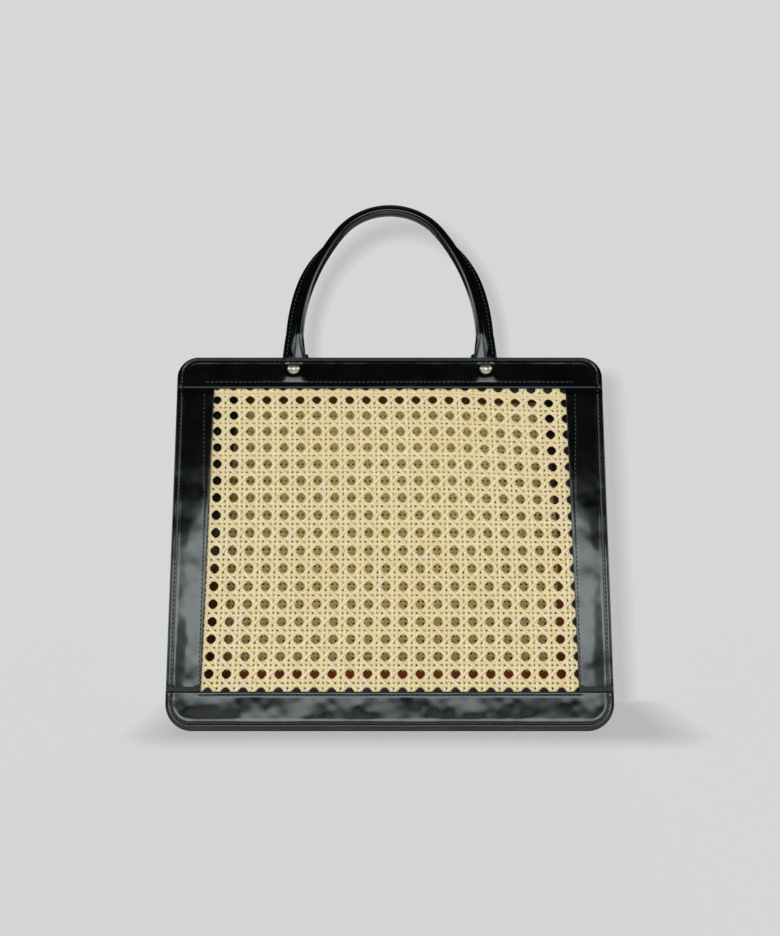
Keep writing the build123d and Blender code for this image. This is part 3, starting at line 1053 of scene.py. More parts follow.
@dataclass(frozen=True)
class PanelRelief:
    """The height of the leather over the panel's outer face: grooves, ridges, bulges and waves."""

    seed: int
    sizes: BagSizes = SIZES
    top_inset: float = 2.4
    side_inset: float = 3.55
    bottom_inset: float = 5.3
    window_row_top: float = 5.7
    window_row_bottom: float = 2.9
    groove_depth: float = 0.26
    groove_width: float = 0.55
    inner_groove: float = 0.25
    twist: float = 0.75
    crown: float = 0.5
    twist_height: float = 150.0
    twist_reach: float = 38.0
    crown_edge: float = 0.15
    top_corner_less: float = 3.0
    bottom_corner_less: float = 4.4
    beside_window: float = 2.5
    flare: float = 2.3
    flare_start: float = 165.0
    flare_length: float = 70.0
    ridge: float = 0.10
    ridge_away: float = 1.5
    ridge_width: float = 0.9
    dip: float = 0.75
    dip_reach: float = 3.2
    bulge: float = 0.42
    bulge_margin: float = 1.2
    bulge_below: float = 6.3
    bulge_length: float = 7.0
    dent: float = 0.30
    dent_radius: float = 4.6
    dent_width: float = 1.5
    waves: Pairs = ((0.09, 38.0), (0.016, 12.0))

    @property
    def top_radius(self) -> float:
        """The outer row's radius at the upper corners."""
        return self.sizes.top_corner - self.top_corner_less

    @property
    def bottom_radius(self) -> float:
        """The outer row's radius at the lower corners."""
        return self.sizes.bottom_corner - self.bottom_corner_less

    def outer_row(self) -> Array:
        """The closed row of stitches round the panel.

        Returns:
            Its (x, height) points, the first again at the end.
        """
        half = self.sizes.width / 2 - self.side_inset
        low, high = self.bottom_inset, self.sizes.height - self.top_inset
        top, bottom = self.top_radius, self.bottom_radius
        spots = [
            on_arc(x, y, radius, math.radians(start + 90 * step / 16))
            for x, y, radius, start in (
                (half - top, high - top, top, 0),
                (-half + top, high - top, top, 90),
                (-half + bottom, low + bottom, bottom, 180),
                (half - bottom, low + bottom, bottom, 270),
            )
            for step in range(17)
        ]
        return np.array(spots + spots[:1])

    def from_outer_row(self, x: Array, height: Array) -> Array:
        """The distance of spots from the outer row of stitches.

        Args:
            x: Places across.
            height: Heights up the panel.

        Returns:
            The distances, in millimetres.
        """
        low, high = self.bottom_inset, self.sizes.height - self.top_inset
        middle, reach = (low + high) / 2, (high - low) / 2
        radius = np.where(height > middle, self.top_radius, self.bottom_radius)
        across = np.abs(x) - (self.sizes.width / 2 - self.side_inset) + radius
        up = np.abs(height - middle) - reach + radius
        outside = np.hypot(np.maximum(across, 0), np.maximum(up, 0))
        return np.abs(outside + np.minimum(np.maximum(across, up), 0) - radius)

    def side_row(self, height: Array) -> Array:
        """How far from the middle the stitches beside the window run, at a height."""
        flare = self.flare * smooth((height - self.flare_start) / self.flare_length)
        return self.sizes.window_half_width + self.beside_window + flare

    def groove(self, distance: Array) -> Array:
        """The depth of a sewn groove at a distance from its stitches."""
        return self.groove_depth * bell(distance / self.groove_width)

    def height(self, x: Array, height: Array, strip: bool) -> Array:
        """The relief at spots of the panel.

        Args:
            x: Places across.
            height: Heights up the panel.
            strip: Whether the spots are on a side strip, which dips under the bands.

        Returns:
            The height over the outer face, in millimetres.
        """
        sizes = self.sizes
        row = self.from_outer_row(x, height)
        relief = -self.groove(row) + self.ridge * bell((row - self.ridge_away) / self.ridge_width)
        if strip:
            row = np.abs(np.abs(x) - self.side_row(height))
            ends = np.minimum(sizes.window_top - height, height - sizes.bottom_band)
            relief = relief - self.dip * smooth(1 - ends / self.dip_reach)
            inward = (sizes.width / 2 - sizes.side_strip / 2 - np.abs(x)) / (sizes.side_strip / 2)
            from_twist = (height - self.twist_height) / self.twist_reach
            relief = relief + self.twist * inward * from_twist * np.exp(-0.5 * from_twist**2)
            relief = relief - self.crown * (np.hypot(inward, self.crown_edge) - inward) / 2
        else:
            top = sizes.window_top + self.window_row_top
            bottom = sizes.bottom_band - self.window_row_bottom
            level = np.where(height > sizes.height / 2, top, bottom)
            past = np.maximum(np.abs(x) - self.side_row(level), 0)
            row = np.hypot(height - level, past)
            foot = sizes.height - sizes.tab_depth - self.bulge_below
            rise = smooth((height - foot) / self.bulge_length)
            for side in (-1, 1):
                across = np.abs(x - side * sizes.foot_x) / (sizes.foot_width / 2 + self.bulge_margin)
                relief = relief + self.bulge * smooth(2.0 * (1 - across)) * rise
                from_rivet = np.hypot(x - side * sizes.foot_x, height - sizes.rivet_height)
                relief = relief - self.dent * bell((from_rivet - self.dent_radius) / self.dent_width)
        relief = relief - self.inner_groove * self.groove(row)
        return relief + sum(
            depth * drift(x, height, length, self.seed + number)
            for number, (depth, length) in enumerate(self.waves)
        )


@dataclass
class LeatherFrame:
    """The two bands and two strips of one panel, with their rows of stitches."""

    place: PanelPlace
    relief: PanelRelief
    sizes: BagSizes = SIZES
    spacing: float = 1.5
    lap: float = 1.0
    top_lift: float = 1.1
    edge_low: float = 1.3
    edge_high: float = -1.9
    thread_lift: float = 0.18
    row_margin: float = 3.0
    profile: Pairs = (
        (0.35, -1.8), (0.06, -1.65), (0.0, -1.2), (0.0, -0.75), (0.07, -0.45), (0.22, -0.22),
        (0.42, -0.09), (0.7, -0.02), (1.05, 0.0), (1.45, 0.0), (1.9, 0.0), (2.4, 0.0), (2.8, 0.0),
        (3.2, 0.0), (3.6, 0.0), (4.0, 0.0), (4.5, 0.0), (5.0, 0.0), (5.5, 0.0), (6.1, 0.0),
    )

    def loop(self, box: Box, radii: Box, inset: float) -> tuple[Array, int, int]:
        """The outline of a piece drawn in by an inset, with the same points at every inset.

        Args:
            box: The left, right, lower and upper limits.
            radii: The corners' radii: lower left, lower right, upper right, upper left.
            inset: How far the loop is drawn in.

        Returns:
            The loop's (x, height) points, and how many steps its long and short sides have.
        """
        left, right, low, high = box
        steps = [math.ceil(radius * math.pi / 4 / self.spacing) if radius else 0 for radius in radii]
        wide = math.ceil((right - left) / self.spacing) + 2 * max(steps)
        tall = math.ceil((high - low) / self.spacing) + 2 * max(steps)
        spots = ((left, low, 1, 1), (right, low, -1, 1), (right, high, -1, -1), (left, high, 1, -1))
        corners = []
        for (x, y, to_x, to_y), radius in zip(spots, radii):
            less = max(radius - inset, 0.0)
            corners.append((x + to_x * (inset + less), y + to_y * (inset + less), less))
        points = []
        for side, total in enumerate((wide, tall, wide, tall)):
            here, there = corners[side], corners[(side + 1) % 4]
            first, last = steps[side], steps[(side + 1) % 4]
            heading = math.radians(90 * side - 90)
            for step in range(first):
                points.append(on_arc(*here, heading - math.pi / 4 * (1 - step / first)))
            begin, end = np.array(on_arc(*here, heading)), np.array(on_arc(*there, heading))
            run = total - first - last
            for step in range(run):
                points.append(tuple(begin + (end - begin) * step / run))
            for step in range(last):
                points.append(on_arc(*there, heading + math.pi / 4 * step / last))
        return np.array(points), wide, tall

    @staticmethod
    def four_sides(loop: Array, wide: int, tall: int) -> tuple[Array, Array, Array, Array]:
        """Cut a loop into its sides, each in its rising direction.

        Args:
            loop: Points or numbers round the loop, from its lower left corner.
            wide: How many steps a long side has.
            tall: How many steps a short side has.

        Returns:
            The lower, right, upper and left sides.
        """
        upper = loop[wide + tall : 2 * wide + tall + 1][::-1]
        left = np.concatenate([loop[2 * wide + tall :], loop[:1]])[::-1]
        return loop[: wide + 1], loop[wide : wide + tall + 1], upper, left

    def sheet(self, draft: MeshDraft, box: Box, radii: Box, strip: bool) -> None:
        """Add one closed piece of leather: a turned edge, a sewn border and the field inside it.

        Args:
            draft: The mesh that takes it.
            box: The left, right, lower and upper limits.
            radii: The corners' radii, from the lower left round to the upper left.
            strip: Whether it is a side strip.
        """
        rings = []
        for inset, drop in self.profile:
            loop, wide, tall = self.loop(box, radii, inset)
            x, height = loop[:, 0], loop[:, 1]
            if strip:
                x = self.tapered(x, height)
            fade = smooth((drop + 1.2) / 1.2)
            out = self.sizes.outer_face + drop + fade * self.relief.height(x, height, strip)
            rings.append(np.stack([x, height, out], axis=1))
        first = draft.add_grid(self.place.points(np.stack(rings)), closed=True)
        count = len(rings[-1])
        draft.faces.append(list(range(first + count - 1, first - 1, -1)))
        bottom, right, top, left = self.four_sides(rings[-1], wide, tall)
        u = np.linspace(0, 1, wide + 1)[None, :, None]
        v = np.linspace(0, 1, tall + 1)[:, None, None]
        inside = (1 - v) * bottom[None] + v * top[None] + (1 - u) * left[:, None] + u * right[:, None]
        inside = inside - (
            (1 - u) * (1 - v) * bottom[0] + u * (1 - v) * bottom[-1]
            + (1 - u) * v * top[0] + u * v * top[-1]
        )
        relief = self.relief.height(inside[..., 0], inside[..., 1], strip)
        inside[..., 2] = self.sizes.outer_face + relief
        inside = inside[1:-1, 1:-1]
        start = draft.add_points(self.place.points(inside))
        border = first + (len(self.profile) - 1) * count + np.arange(count)
        numbers = np.zeros((tall + 1, wide + 1), int)
        numbers[1:-1, 1:-1] = start + np.arange(inside[..., 0].size).reshape(inside.shape[:2])
        numbers[0], numbers[:, -1], numbers[-1], numbers[:, 0] = self.four_sides(border, wide, tall)
        quads = np.stack([numbers[:-1, :-1], numbers[:-1, 1:], numbers[1:, 1:], numbers[1:, :-1]], axis=-1)
        draft.faces.extend(quads.reshape(-1, 4).tolist())

    def tapered(self, x: Array, height: Array) -> Array:
        """Slant a side strip's window edge, as it was cut by hand.

        Args:
            x: Places across, before the slant.
            height: Heights up the panel.

        Returns:
            The places across, after it.
        """
        sizes = self.sizes
        share = np.clip((sizes.width / 2 - np.abs(x)) / sizes.side_strip, 0, 1)
        up = (height - sizes.bottom_band) / (sizes.window_top - sizes.bottom_band)
        return x + np.sign(x) * share * (self.edge_low + (self.edge_high - self.edge_low) * up)

    def boxes(self) -> dict[str, tuple[Box, Box, bool]]:
        """The four pieces of leather.

        Returns:
            Each one's limits, corner radii and whether it is a strip, by its name.
        """
        sizes = self.sizes
        half, inner = sizes.width / 2, sizes.window_half_width
        top, bottom = sizes.window_top + self.top_lift, sizes.bottom_band
        low, high = sizes.bottom_corner, sizes.top_corner
        return {
            "top_band": ((-half, half, top, sizes.height), (0, 0, high, high), False),
            "bottom_band": ((-half, half, 0.0, bottom), (low, low, 0, 0), False),
            "left_strip": ((-half, -inner, bottom - self.lap, top + self.lap), (0, 0, 0, 0), True),
            "right_strip": ((inner, half, bottom - self.lap, top + self.lap), (0, 0, 0, 0), True),
        }

    def rows(self) -> list[tuple[Array, StitchRow]]:
        """Every row of stitches.

        Returns:
            Each row's (x, height) points with its stitch.
        """
        sizes, relief = self.sizes, self.relief
        across = np.linspace(-1, 1, 160)
        rows = [(relief.outer_row(), StitchRow())]
        for level, near, stitch in (
            (sizes.window_top + relief.window_row_top, 250.0, StitchRow(pitch=3.6)),
            (sizes.bottom_band - relief.window_row_bottom, 30.0, StitchRow()),
        ):
            reach = float(relief.side_row(np.array(near)))
            rows.append((np.stack([reach * across, np.full(len(across), level)], axis=1), stitch))
        heights = np.linspace(sizes.bottom_band + self.row_margin, sizes.window_top - self.row_margin, 80)
        for side in (-1, 1):
            rows.append((np.stack([side * relief.side_row(heights), heights], axis=1), StitchRow()))
        return rows

    def build(self, finishes: Finishes) -> None:
        """Make the four pieces of leather and the thread that sews them.

        Args:
            finishes: The bag's finishes.
        """
        side = self.place.side.value
        for name, (box, radii, strip) in self.boxes().items():
            draft = MeshDraft()
            self.sheet(draft, box, radii, strip)
            draft.to_piece(f"{side}_{name}_leather", finishes.leather, (f"{side}_{name}",))
        thread = MeshDraft()
        for path, stitch in self.rows():
            fine = self.refine(path)
            x, height = fine[:, 0], fine[:, 1]
            on_strip = (height > self.sizes.bottom_band) & (height < self.sizes.window_top)
            on_band, as_strip = (self.relief.height(x, height, strip) for strip in (False, True))
            relief = np.where(on_strip, as_strip, on_band)
            out = self.sizes.outer_face + relief + self.thread_lift
            points = self.place.points(np.stack([x, height, out], axis=1))
            up = self.place.directions(np.tile([0.0, 0.0, 1.0], (len(points), 1)))
            count = stitch.sew(thread, points, up)
            log.info("%s stitches: %d", side, count)
        thread.to_piece(f"{side}_frame_stitches", finishes.thread)

    @staticmethod
    def refine(path: Array, step: float = 0.5) -> Array:
        """Points along a path at an even small step."""
        far = travelled(path)
        return between(path, far, np.linspace(0, far[-1], max(2, int(far[-1] / step))))


@dataclass
class LiningHem:
    """The red-brown lining's turned hem, glued down over the cane's upper edge inside the bag."""

    place: PanelPlace
    reach: float
    sizes: BagSizes = SIZES
    half_width: float = 134.0
    thickness: float = 0.5
    stations: int = 110
    wander: float = 0.5
    wander_length: float = 24.0
    wander_below: float = 4.4

    def build(self, finishes: Finishes) -> None:
        """Make the hem as one closed strip whose lower edge wanders a little.

        Args:
            finishes: The bag's finishes.
        """
        top = self.sizes.window_top
        middle = np.array([
            (1.8, -0.3), (-1.6, -0.3), (-2.9, -0.05), (-3.6, 0.6), (-4.4, 1.15), (-self.reach, 1.2),
        ])
        run = unit(np.gradient(middle, axis=0))
        aside = np.stack([-run[:, 1], run[:, 0]], axis=1) * self.thickness / 2
        outline = np.concatenate([middle + aside, (middle - aside)[::-1]])
        x = np.linspace(-self.half_width, self.half_width, self.stations)
        wander = self.wander * drift(x, np.zeros_like(x), self.wander_length, 71)[:, None]
        wander = wander * np.clip(-outline[None, :, 0] - self.wander_below, 0, 1)
        rings = np.zeros((len(x), len(outline), 3))
        rings[..., 0] = x[:, None]
        rings[..., 1] = top + outline[None, :, 0] + wander
        rings[..., 2] = outline[None, :, 1]
        draft = MeshDraft()
        draft.add_grid(self.place.points(rings), closed=True, capped=True)
        side = self.place.side
        draft.to_piece(f"{side.value}_lining_hem", finishes.lining[side])


@dataclass
class RolledHandle:
    """A leather roll with its sewn flange, flattened at both feet into tabs.

    The handle's own frame has its origin on the band's upper edge: x across, y up, z outward
    from the middle of the panel's board.
    """

    place: PanelPlace
    hanging: bool
    sizes: BagSizes = SIZES
    tube_radius: float = 4.4
    half_span: float = 70.8
    rise: float = 124.5
    crown_radius: float = 50.0
    shoulder_radius: float = 148.0
    foot_rise: float = 18.0
    foot_thickness: float = 2.6
    foot_outset: float = 2.6
    flange_width: float = 5.0
    flange_thickness: float = 2.4
    flange_turn_begins: float = 14.0
    flange_turn_ends: float = 48.0
    bend_radius: float = 5.2
    bend_lift: float = 0.6
    rest_clearance: float = 0.5
    roll_sides: int = 22
    stitch_share: float = 0.42
    tab_thinning: float = 0.76
    bend_thinning: float = 0.9
    rounding: float = 1.15
    flange_shape: Pairs = (
        (0.10, 0.98), (0.30, 0.97), (0.42, 0.82), (0.54, 0.97), (0.78, 0.95), (0.93, 0.74), (1.0, 0.34),
    )

    @property
    def middle(self) -> float:
        """The handle's own zero, from the lining's inner face."""
        return (self.sizes.board_face + self.sizes.band_face) / 2

    @property
    def shoulder_turn(self) -> float:
        """The turn at which the shoulder's arc meets the crown's, in degrees."""
        cosine = (self.shoulder_radius - self.half_span) / (self.shoulder_radius - self.crown_radius)
        return math.degrees(math.acos(cosine))

    @property
    def crown_centre(self) -> float:
        """The height of the crown arc's centre."""
        return self.rise - self.tube_radius - self.crown_radius

    @property
    def shoulder_centre(self) -> float:
        """The height of the shoulder arcs' centres."""
        drop = (self.shoulder_radius - self.crown_radius) * math.sin(math.radians(self.shoulder_turn))
        return self.crown_centre - drop

    @property
    def bend(self) -> float:
        """How far the feet bend: not at all if it stands, or until its crown rests.

        Returns:
            The bend, in degrees.
        """
        if not self.hanging:
            return 0.0
        reach = self.rise - self.tube_radius
        spare = self.middle + self.bend_radius - self.tube_radius - self.sizes.band_face - self.rest_clearance
        settle = math.atan2(self.bend_radius, reach) + math.asin(spare / math.hypot(self.bend_radius, reach))
        return 180 + math.degrees(settle)

    def section(self, half_width: Array, half_depth: Array, reach: Array, flange: Array) -> Array:
        """The roll and its flange cut across at every station.

        Args:
            half_width: The roll's reach towards the flange, at each station.
            half_depth: The roll's reach across it.
            reach: How far out the flange's edge is.
            flange: Half the flange's thickness.

        Returns:
            Points as (stations, points, 2): towards the flange and across it.
        """
        start = np.arcsin(flange / half_depth)[:, None]
        turn = np.linspace(0, 1, self.roll_sides + 1)[None]
        angle = start + (2 * math.pi - 2 * start) * turn
        roll = np.stack([half_width[:, None] * np.cos(angle), half_depth[:, None] * np.sin(angle)], axis=-1)
        shape = np.array(self.flange_shape)
        root = (half_width * np.cos(start[:, 0]))[:, None]
        out = root + (reach[:, None] - root) * shape[None, :, 0]
        low = np.stack([out, -flange[:, None] * shape[None, :, 1]], axis=-1)
        high = np.stack([out, flange[:, None] * shape[None, :, 1]], axis=-1)[:, ::-1]
        return np.concatenate([roll, low, high], axis=1)

    def stations(self) -> dict[str, Array]:
        """The left half's stations, from the tab's lower end to the crown.

        Returns:
            Centres, directions towards the flange and across it, and the sizes cut across.
        """
        flat_width = self.sizes.foot_width / 2 - self.foot_outset
        flat_reach = self.sizes.foot_width / 2 + self.foot_outset
        flat_depth = self.foot_thickness / 2
        left, front = np.array([-1.0, 0, 0]), np.array([0, 0, 1.0])
        rows: list[Station] = []

        def foot(share: float, y: float, thin: float = 1.0) -> Station:
            """A station of the left foot.

            Args:
                share: How far it has rounded, from the flat tab to the full roll.
                y: Its height in the handle's own frame.
                thin: Its share of the tab's full thickness.

            Returns:
                The station.
            """
            swell = share**self.rounding
            half_width = flat_width + swell * (self.tube_radius - flat_width)
            half_depth = thin * flat_depth + swell * (self.tube_radius - flat_depth)
            reach = flat_reach + swell * (self.tube_radius + self.flange_width - flat_reach)
            flange = thin * self.flange_thickness / 2
            return (np.array([-self.half_span, y, 0.0]), left, front, half_width, half_depth, reach, flange)

        rows += [foot(0, y, self.tab_thinning) for y in (-self.sizes.tab_depth, -10.0, -5.0, -1.5)]
        lift = self.bend_lift if self.hanging else 0.0
        hub = np.array([0.0, self.bend_lift, self.bend_radius])

        def turned(row: Station, degrees: float) -> Station:
            """A station lifted by the bend, then turned about its hub."""
            angle = math.radians(degrees)
            cosine, sine = math.cos(angle), math.sin(angle)
            turn = np.array([[1, 0, 0], [0, cosine, -sine], [0, sine, cosine]])
            centre = row[0] + np.array([0, lift, 0])
            if degrees:
                centre = hub + turn @ (centre - hub)
                return (centre, turn @ row[1], turn @ row[2], *row[3:])
            return (centre, *row[1:])

        if self.hanging:
            rows.append(foot(0, 0.0, self.bend_thinning))
            rows += [turned(foot(0, 0.0), self.bend * step / 20) for step in range(20)]
        first_turn = math.degrees(math.asin((self.foot_rise - self.shoulder_centre) / self.shoulder_radius))
        rows += [turned(foot(step / 8, self.foot_rise * step / 8), self.bend) for step in range(8)]
        turns = np.concatenate([
            np.linspace(first_turn, self.shoulder_turn, 34)[:-1], np.linspace(self.shoulder_turn, 90, 26),
        ])
        for turn in turns:
            angle = math.radians(turn)
            outward = np.array([-math.cos(angle), math.sin(angle), 0.0])
            if turn < self.shoulder_turn:
                centre = np.array([self.shoulder_radius - self.half_span, self.shoulder_centre, 0.0])
                centre = centre + outward * self.shoulder_radius
            else:
                centre = np.array([0.0, self.crown_centre, 0.0]) + outward * self.crown_radius
            share = (turn - self.flange_turn_begins) / (self.flange_turn_ends - self.flange_turn_begins)
            swing = math.radians(90) * float(smooth(np.array(share)))
            behind = np.array([0.0, 0, -1])
            towards = outward * math.cos(swing) + behind * math.sin(swing)
            across = outward * math.sin(swing) - behind * math.cos(swing)
            radius, flange = self.tube_radius, self.flange_thickness / 2
            row = (centre, towards, across, radius, radius, radius + self.flange_width, flange)
            rows.append(turned(row, self.bend))
        names = ("centre", "towards", "across", "half_width", "half_depth", "reach", "flange")
        half = {name: np.array([row[k] for row in rows]) for k, name in enumerate(names)}
        mirror = np.array([-1.0, 1, 1])
        whole = {}
        for name, values in half.items():
            other = values[-2::-1] * mirror if values.ndim == 2 else values[-2::-1]
            whole[name] = np.concatenate([values, other])
        return whole

    def set_down(self, points: Array) -> Array:
        """Place points of the handle's own frame in the bag."""
        return self.place.points(points + np.array([0.0, self.sizes.height, self.middle]))

    def build(self, finishes: Finishes) -> None:
        """Make the handle and the stitches on both faces of its flange.

        Args:
            finishes: The bag's finishes.
        """
        side = self.place.side.value
        rows = self.stations()
        section = self.section(rows["half_width"], rows["half_depth"], rows["reach"], rows["flange"])
        rings = rows["centre"][:, None] + section[..., 0:1] * rows["towards"][:, None]
        rings = rings + section[..., 1:2] * rows["across"][:, None]
        draft = MeshDraft()
        draft.add_grid(self.set_down(rings), closed=True, capped=True)
        draft.to_piece(f"{side}_rolled_handle", finishes.leather, (f"{side}_handle",))
        thread = MeshDraft()
        shown = slice(5, -5)
        root = rows["half_width"]
        out = root + (rows["reach"] - root) * self.stitch_share
        for face in (-1, 1):
            path = rows["centre"] + rows["towards"] * out[:, None]
            path = path + rows["across"] * (face * (rows["flange"] * 0.84 + 0.1))[:, None]
            up = self.place.directions(face * rows["across"])
            StitchRow(pitch=3.3, thread=0.8).sew(thread, self.set_down(path)[shown], up[shown])
        thread.to_piece(f"{side}_handle_stitches", finishes.thread)


@dataclass
class RivetCaps:
    """The two polished domes that hold a handle's tabs."""

    place: PanelPlace
    sizes: BagSizes = SIZES
    radius: float = 4.75
    height: float = 2.6
    segments: int = 48
    rim: Pairs = ((0.93, 0.0), (1.0, 0.16), (1.0, 0.42), (0.985, 0.56))
    dome_share: float = 0.955
    dome_foot: float = 0.62
    dome_top: float = 0.15

    def build(self, finishes: Finishes) -> None:
        """Make both caps: a thin rolled rim and a dome.

        Args:
            finishes: The bag's finishes.
        """
        rim = [(self.radius * share, up) for share, up in self.rim]
        reach, rise = self.dome_share * self.radius, self.height - self.dome_foot
        turns = np.linspace(0, math.pi / 2, 14)[:-1]
        dome = [(reach * math.cos(turn), self.dome_foot + rise * math.sin(turn)) for turn in turns]
        profile = np.array(rim + dome + [(self.dome_top, self.height)])
        angles = np.arange(self.segments) / self.segments * 2 * math.pi
        draft = MeshDraft()
        for side in (-1, 1):
            grid = np.zeros((len(profile), self.segments, 3))
            grid[..., 0] = side * self.sizes.foot_x + profile[:, 0:1] * np.cos(angles)[None]
            grid[..., 1] = self.sizes.rivet_height + profile[:, 0:1] * np.sin(angles)[None]
            grid[..., 2] = self.sizes.outer_face + profile[:, 1:2]
            draft.add_grid(self.place.points(grid), closed=True, capped=True)
        name = self.place.side.value
        draft.to_piece(f"{name}_rivet_domes", finishes.metal, (f"{name}_rivet_caps",))


@dataclass
class FoldingGusset:
    """One strip of soft leather for both sides and the floor, folded in above the floor."""

    sizes: BagSizes = SIZES
    thickness: float = 1.4
    flange: float = 8.0
    fold_depth: float = 41.0
    fold_start: float = 5.0
    top: float = 259.0
    apex: float = 265.0
    crease_margin: float = 0.4
    floor_margin: float = 0.05

    def cut(self, half: float, crease: float, depth: float) -> Array:
        """The strip cut across, from the front lining to the back one.

        Args:
            half: How far from the middle the strip's edges are.
            crease: How far from the middle the two creases are.
            depth: How deep the strip folds in.

        Returns:
            Points as (points, 2): along the bag's depth and inward, as a closed ring.
        """
        crease = min(crease, half - self.crease_margin)
        corners = [(-half, 0.0), (-crease, depth), (crease, depth), (half, 0.0)]
        line: list[tuple[float, float]] = []
        for number in range(3):
            (x0, y0), (x1, y1) = corners[number], corners[number + 1]
            for share in np.linspace(0.0, 1.0, 9)[:-1]:
                line.append((x0 + (x1 - x0) * share, y0 + (y1 - y0) * share))
        line.append(corners[-1])
        middle = np.array(line)
        for _ in range(2):
            middle[1:-1] = 0.25 * middle[:-2] + 0.5 * middle[1:-1] + 0.25 * middle[2:]
        run = unit(np.gradient(middle, axis=0))
        inner = middle + np.stack([-run[:, 1], run[:, 0]], axis=1) * self.thickness
        inner[:, 0] = np.clip(inner[:, 0], -half, half)
        return np.concatenate([middle, inner[::-1]])

    def build(self, finishes: Finishes) -> None:
        """Make the strip and its flanges as one piece.

        Args:
            finishes: The bag's finishes.
        """
        draft = MeshDraft()
        draft.add_grid(self.strip(), closed=True, capped=True)
        for side in PanelSide:
            draft.add_grid(self.sewn_edge(PanelPlace(side)), closed=True, capped=True)
        draft.to_piece("folding_gusset", finishes.soft, ("gusset",))

    def strip(self) -> Array:
        """The strip: down one side, along the floor and up the other side.

        Returns:
            Its rings of points, in metres.
        """
        sizes = self.sizes
        radius = sizes.bottom_corner - self.flange
        wall_x = sizes.width / 2 - self.flange
        levels = np.concatenate([
            [sizes.bottom_corner, sizes.bottom_corner + self.fold_start],
            np.linspace(sizes.bottom_corner + 10, self.top * math.cos(sizes.lean), 44),
        ])
        stations: list[Box] = [(wall_x, level, -1.0, 0.0) for level in levels[::-1]]
        centre = (wall_x - radius, self.flange + radius)
        for degrees in np.linspace(0, -90, 9)[1:]:
            angle = math.radians(degrees)
            stations.append((*on_arc(*centre, radius, angle), -math.cos(angle), -math.sin(angle)))
        stations += [(x, self.flange, 0.0, 1.0) for x in np.linspace(centre[0], 0, 20)[1:]]
        other = [(-x, z, -nx, nz) for x, z, nx, nz in stations[-2::-1]]
        rings = []
        for x, z, in_x, in_z in stations + other:
            bottom = sizes.bottom_corner
            share = max(0.0, (z - bottom) / (self.apex - bottom))
            half = float(sizes.half_gap(z))
            crease = (float(sizes.half_gap(bottom)) - self.thickness) * (1 - share)
            depth = share * self.fold_depth if z > bottom else 0.0
            half_edge = half - (self.thickness if z > bottom + 1 else self.floor_margin)
            ring = self.cut(half_edge, crease, depth)
            points = np.zeros((len(ring), 3))
            points[:, 0] = x + in_x * ring[:, 1]
            points[:, 1] = ring[:, 0]
            points[:, 2] = z + in_z * ring[:, 1]
            rings.append(points)
        return np.stack(rings) * MM

    def sewn_edge(self, place: PanelPlace) -> Array:
        """The turned-out edge that is sewn to one panel.

        Args:
            place: That panel's place.

        Returns:
            Its rings of points, in metres.
        """
        sizes = self.sizes
        width = self.flange + self.thickness
        half, corner = sizes.width / 2, sizes.bottom_corner
        spine: list[Box] = [(-half, height, 1.0, 0.0) for height in np.linspace(self.top, corner, 40)]
        for degrees in np.linspace(180, 270, 15)[1:]:
            angle = math.radians(degrees)
            spot = on_arc(-half + corner, corner, corner, angle)
            spine.append((*spot, -math.cos(angle), -math.sin(angle)))
        spine += [(x, 0.0, 0.0, 1.0) for x in np.linspace(-half + corner, 0, 24)[1:]]
        spine += [(-x, y, -nx, ny) for x, y, nx, ny in spine[-2::-1]]
        low, high, soft = -self.thickness, 0.0, 0.35
        outline = np.array([
            (0.0, low + soft), (0.1, low + 0.1), (soft, low), (width - soft, low), (width - 0.1, low + 0.1),
            (width, low + soft), (width, high), (0.0, high),
        ])
        spots = np.array(spine)
        rings = np.zeros((len(spots), len(outline), 3))
        rings[..., 0] = spots[:, 0:1] + spots[:, 2:3] * outline[None, :, 0]
        rings[..., 1] = spots[:, 1:2] + spots[:, 3:4] * outline[None, :, 0]
        rings[..., 2] = outline[None, :, 1]
        return place.points(rings)


@dataclass
class CarriedSolids:
    """Solids whose shape is right already; they stay and take better finishes."""

    def dress(self, node: str, material: bpy.types.Material) -> None:
        """Give one solid its finish.

        Args:
            node: The solid's node.
            material: The finish.
        """
        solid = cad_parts[node]
        solid.data.materials.clear()
        solid.data.materials.append(material)
        log.info("%s: kept, %s", node, material.name)

    def build(self, finishes: Finishes) -> None:
        """Dress the boards, linings and posts.

        Args:
            finishes: The bag's finishes.
        """
        for side in PanelSide:
            name = side.value
            board = LayeredSheet(
                f"{name}_painted_board", face=(0.30, 0.26, 0.22), shade=(0.24, 0.2, 0.17), roughness=0.7,
                side=side,
            )
            self.dress(f"{name}_frame_board", board.material())
            self.dress(f"{name}_lining_frame", finishes.lining[side])
            self.dress(f"{name}_rivet_posts", finishes.metal)
        base = LayeredSheet(
            "base_board_card", face=(0.30, 0.26, 0.22), shade=(0.22, 0.19, 0.16), roughness=0.75,
        )
        self.dress("base_board", base.material())


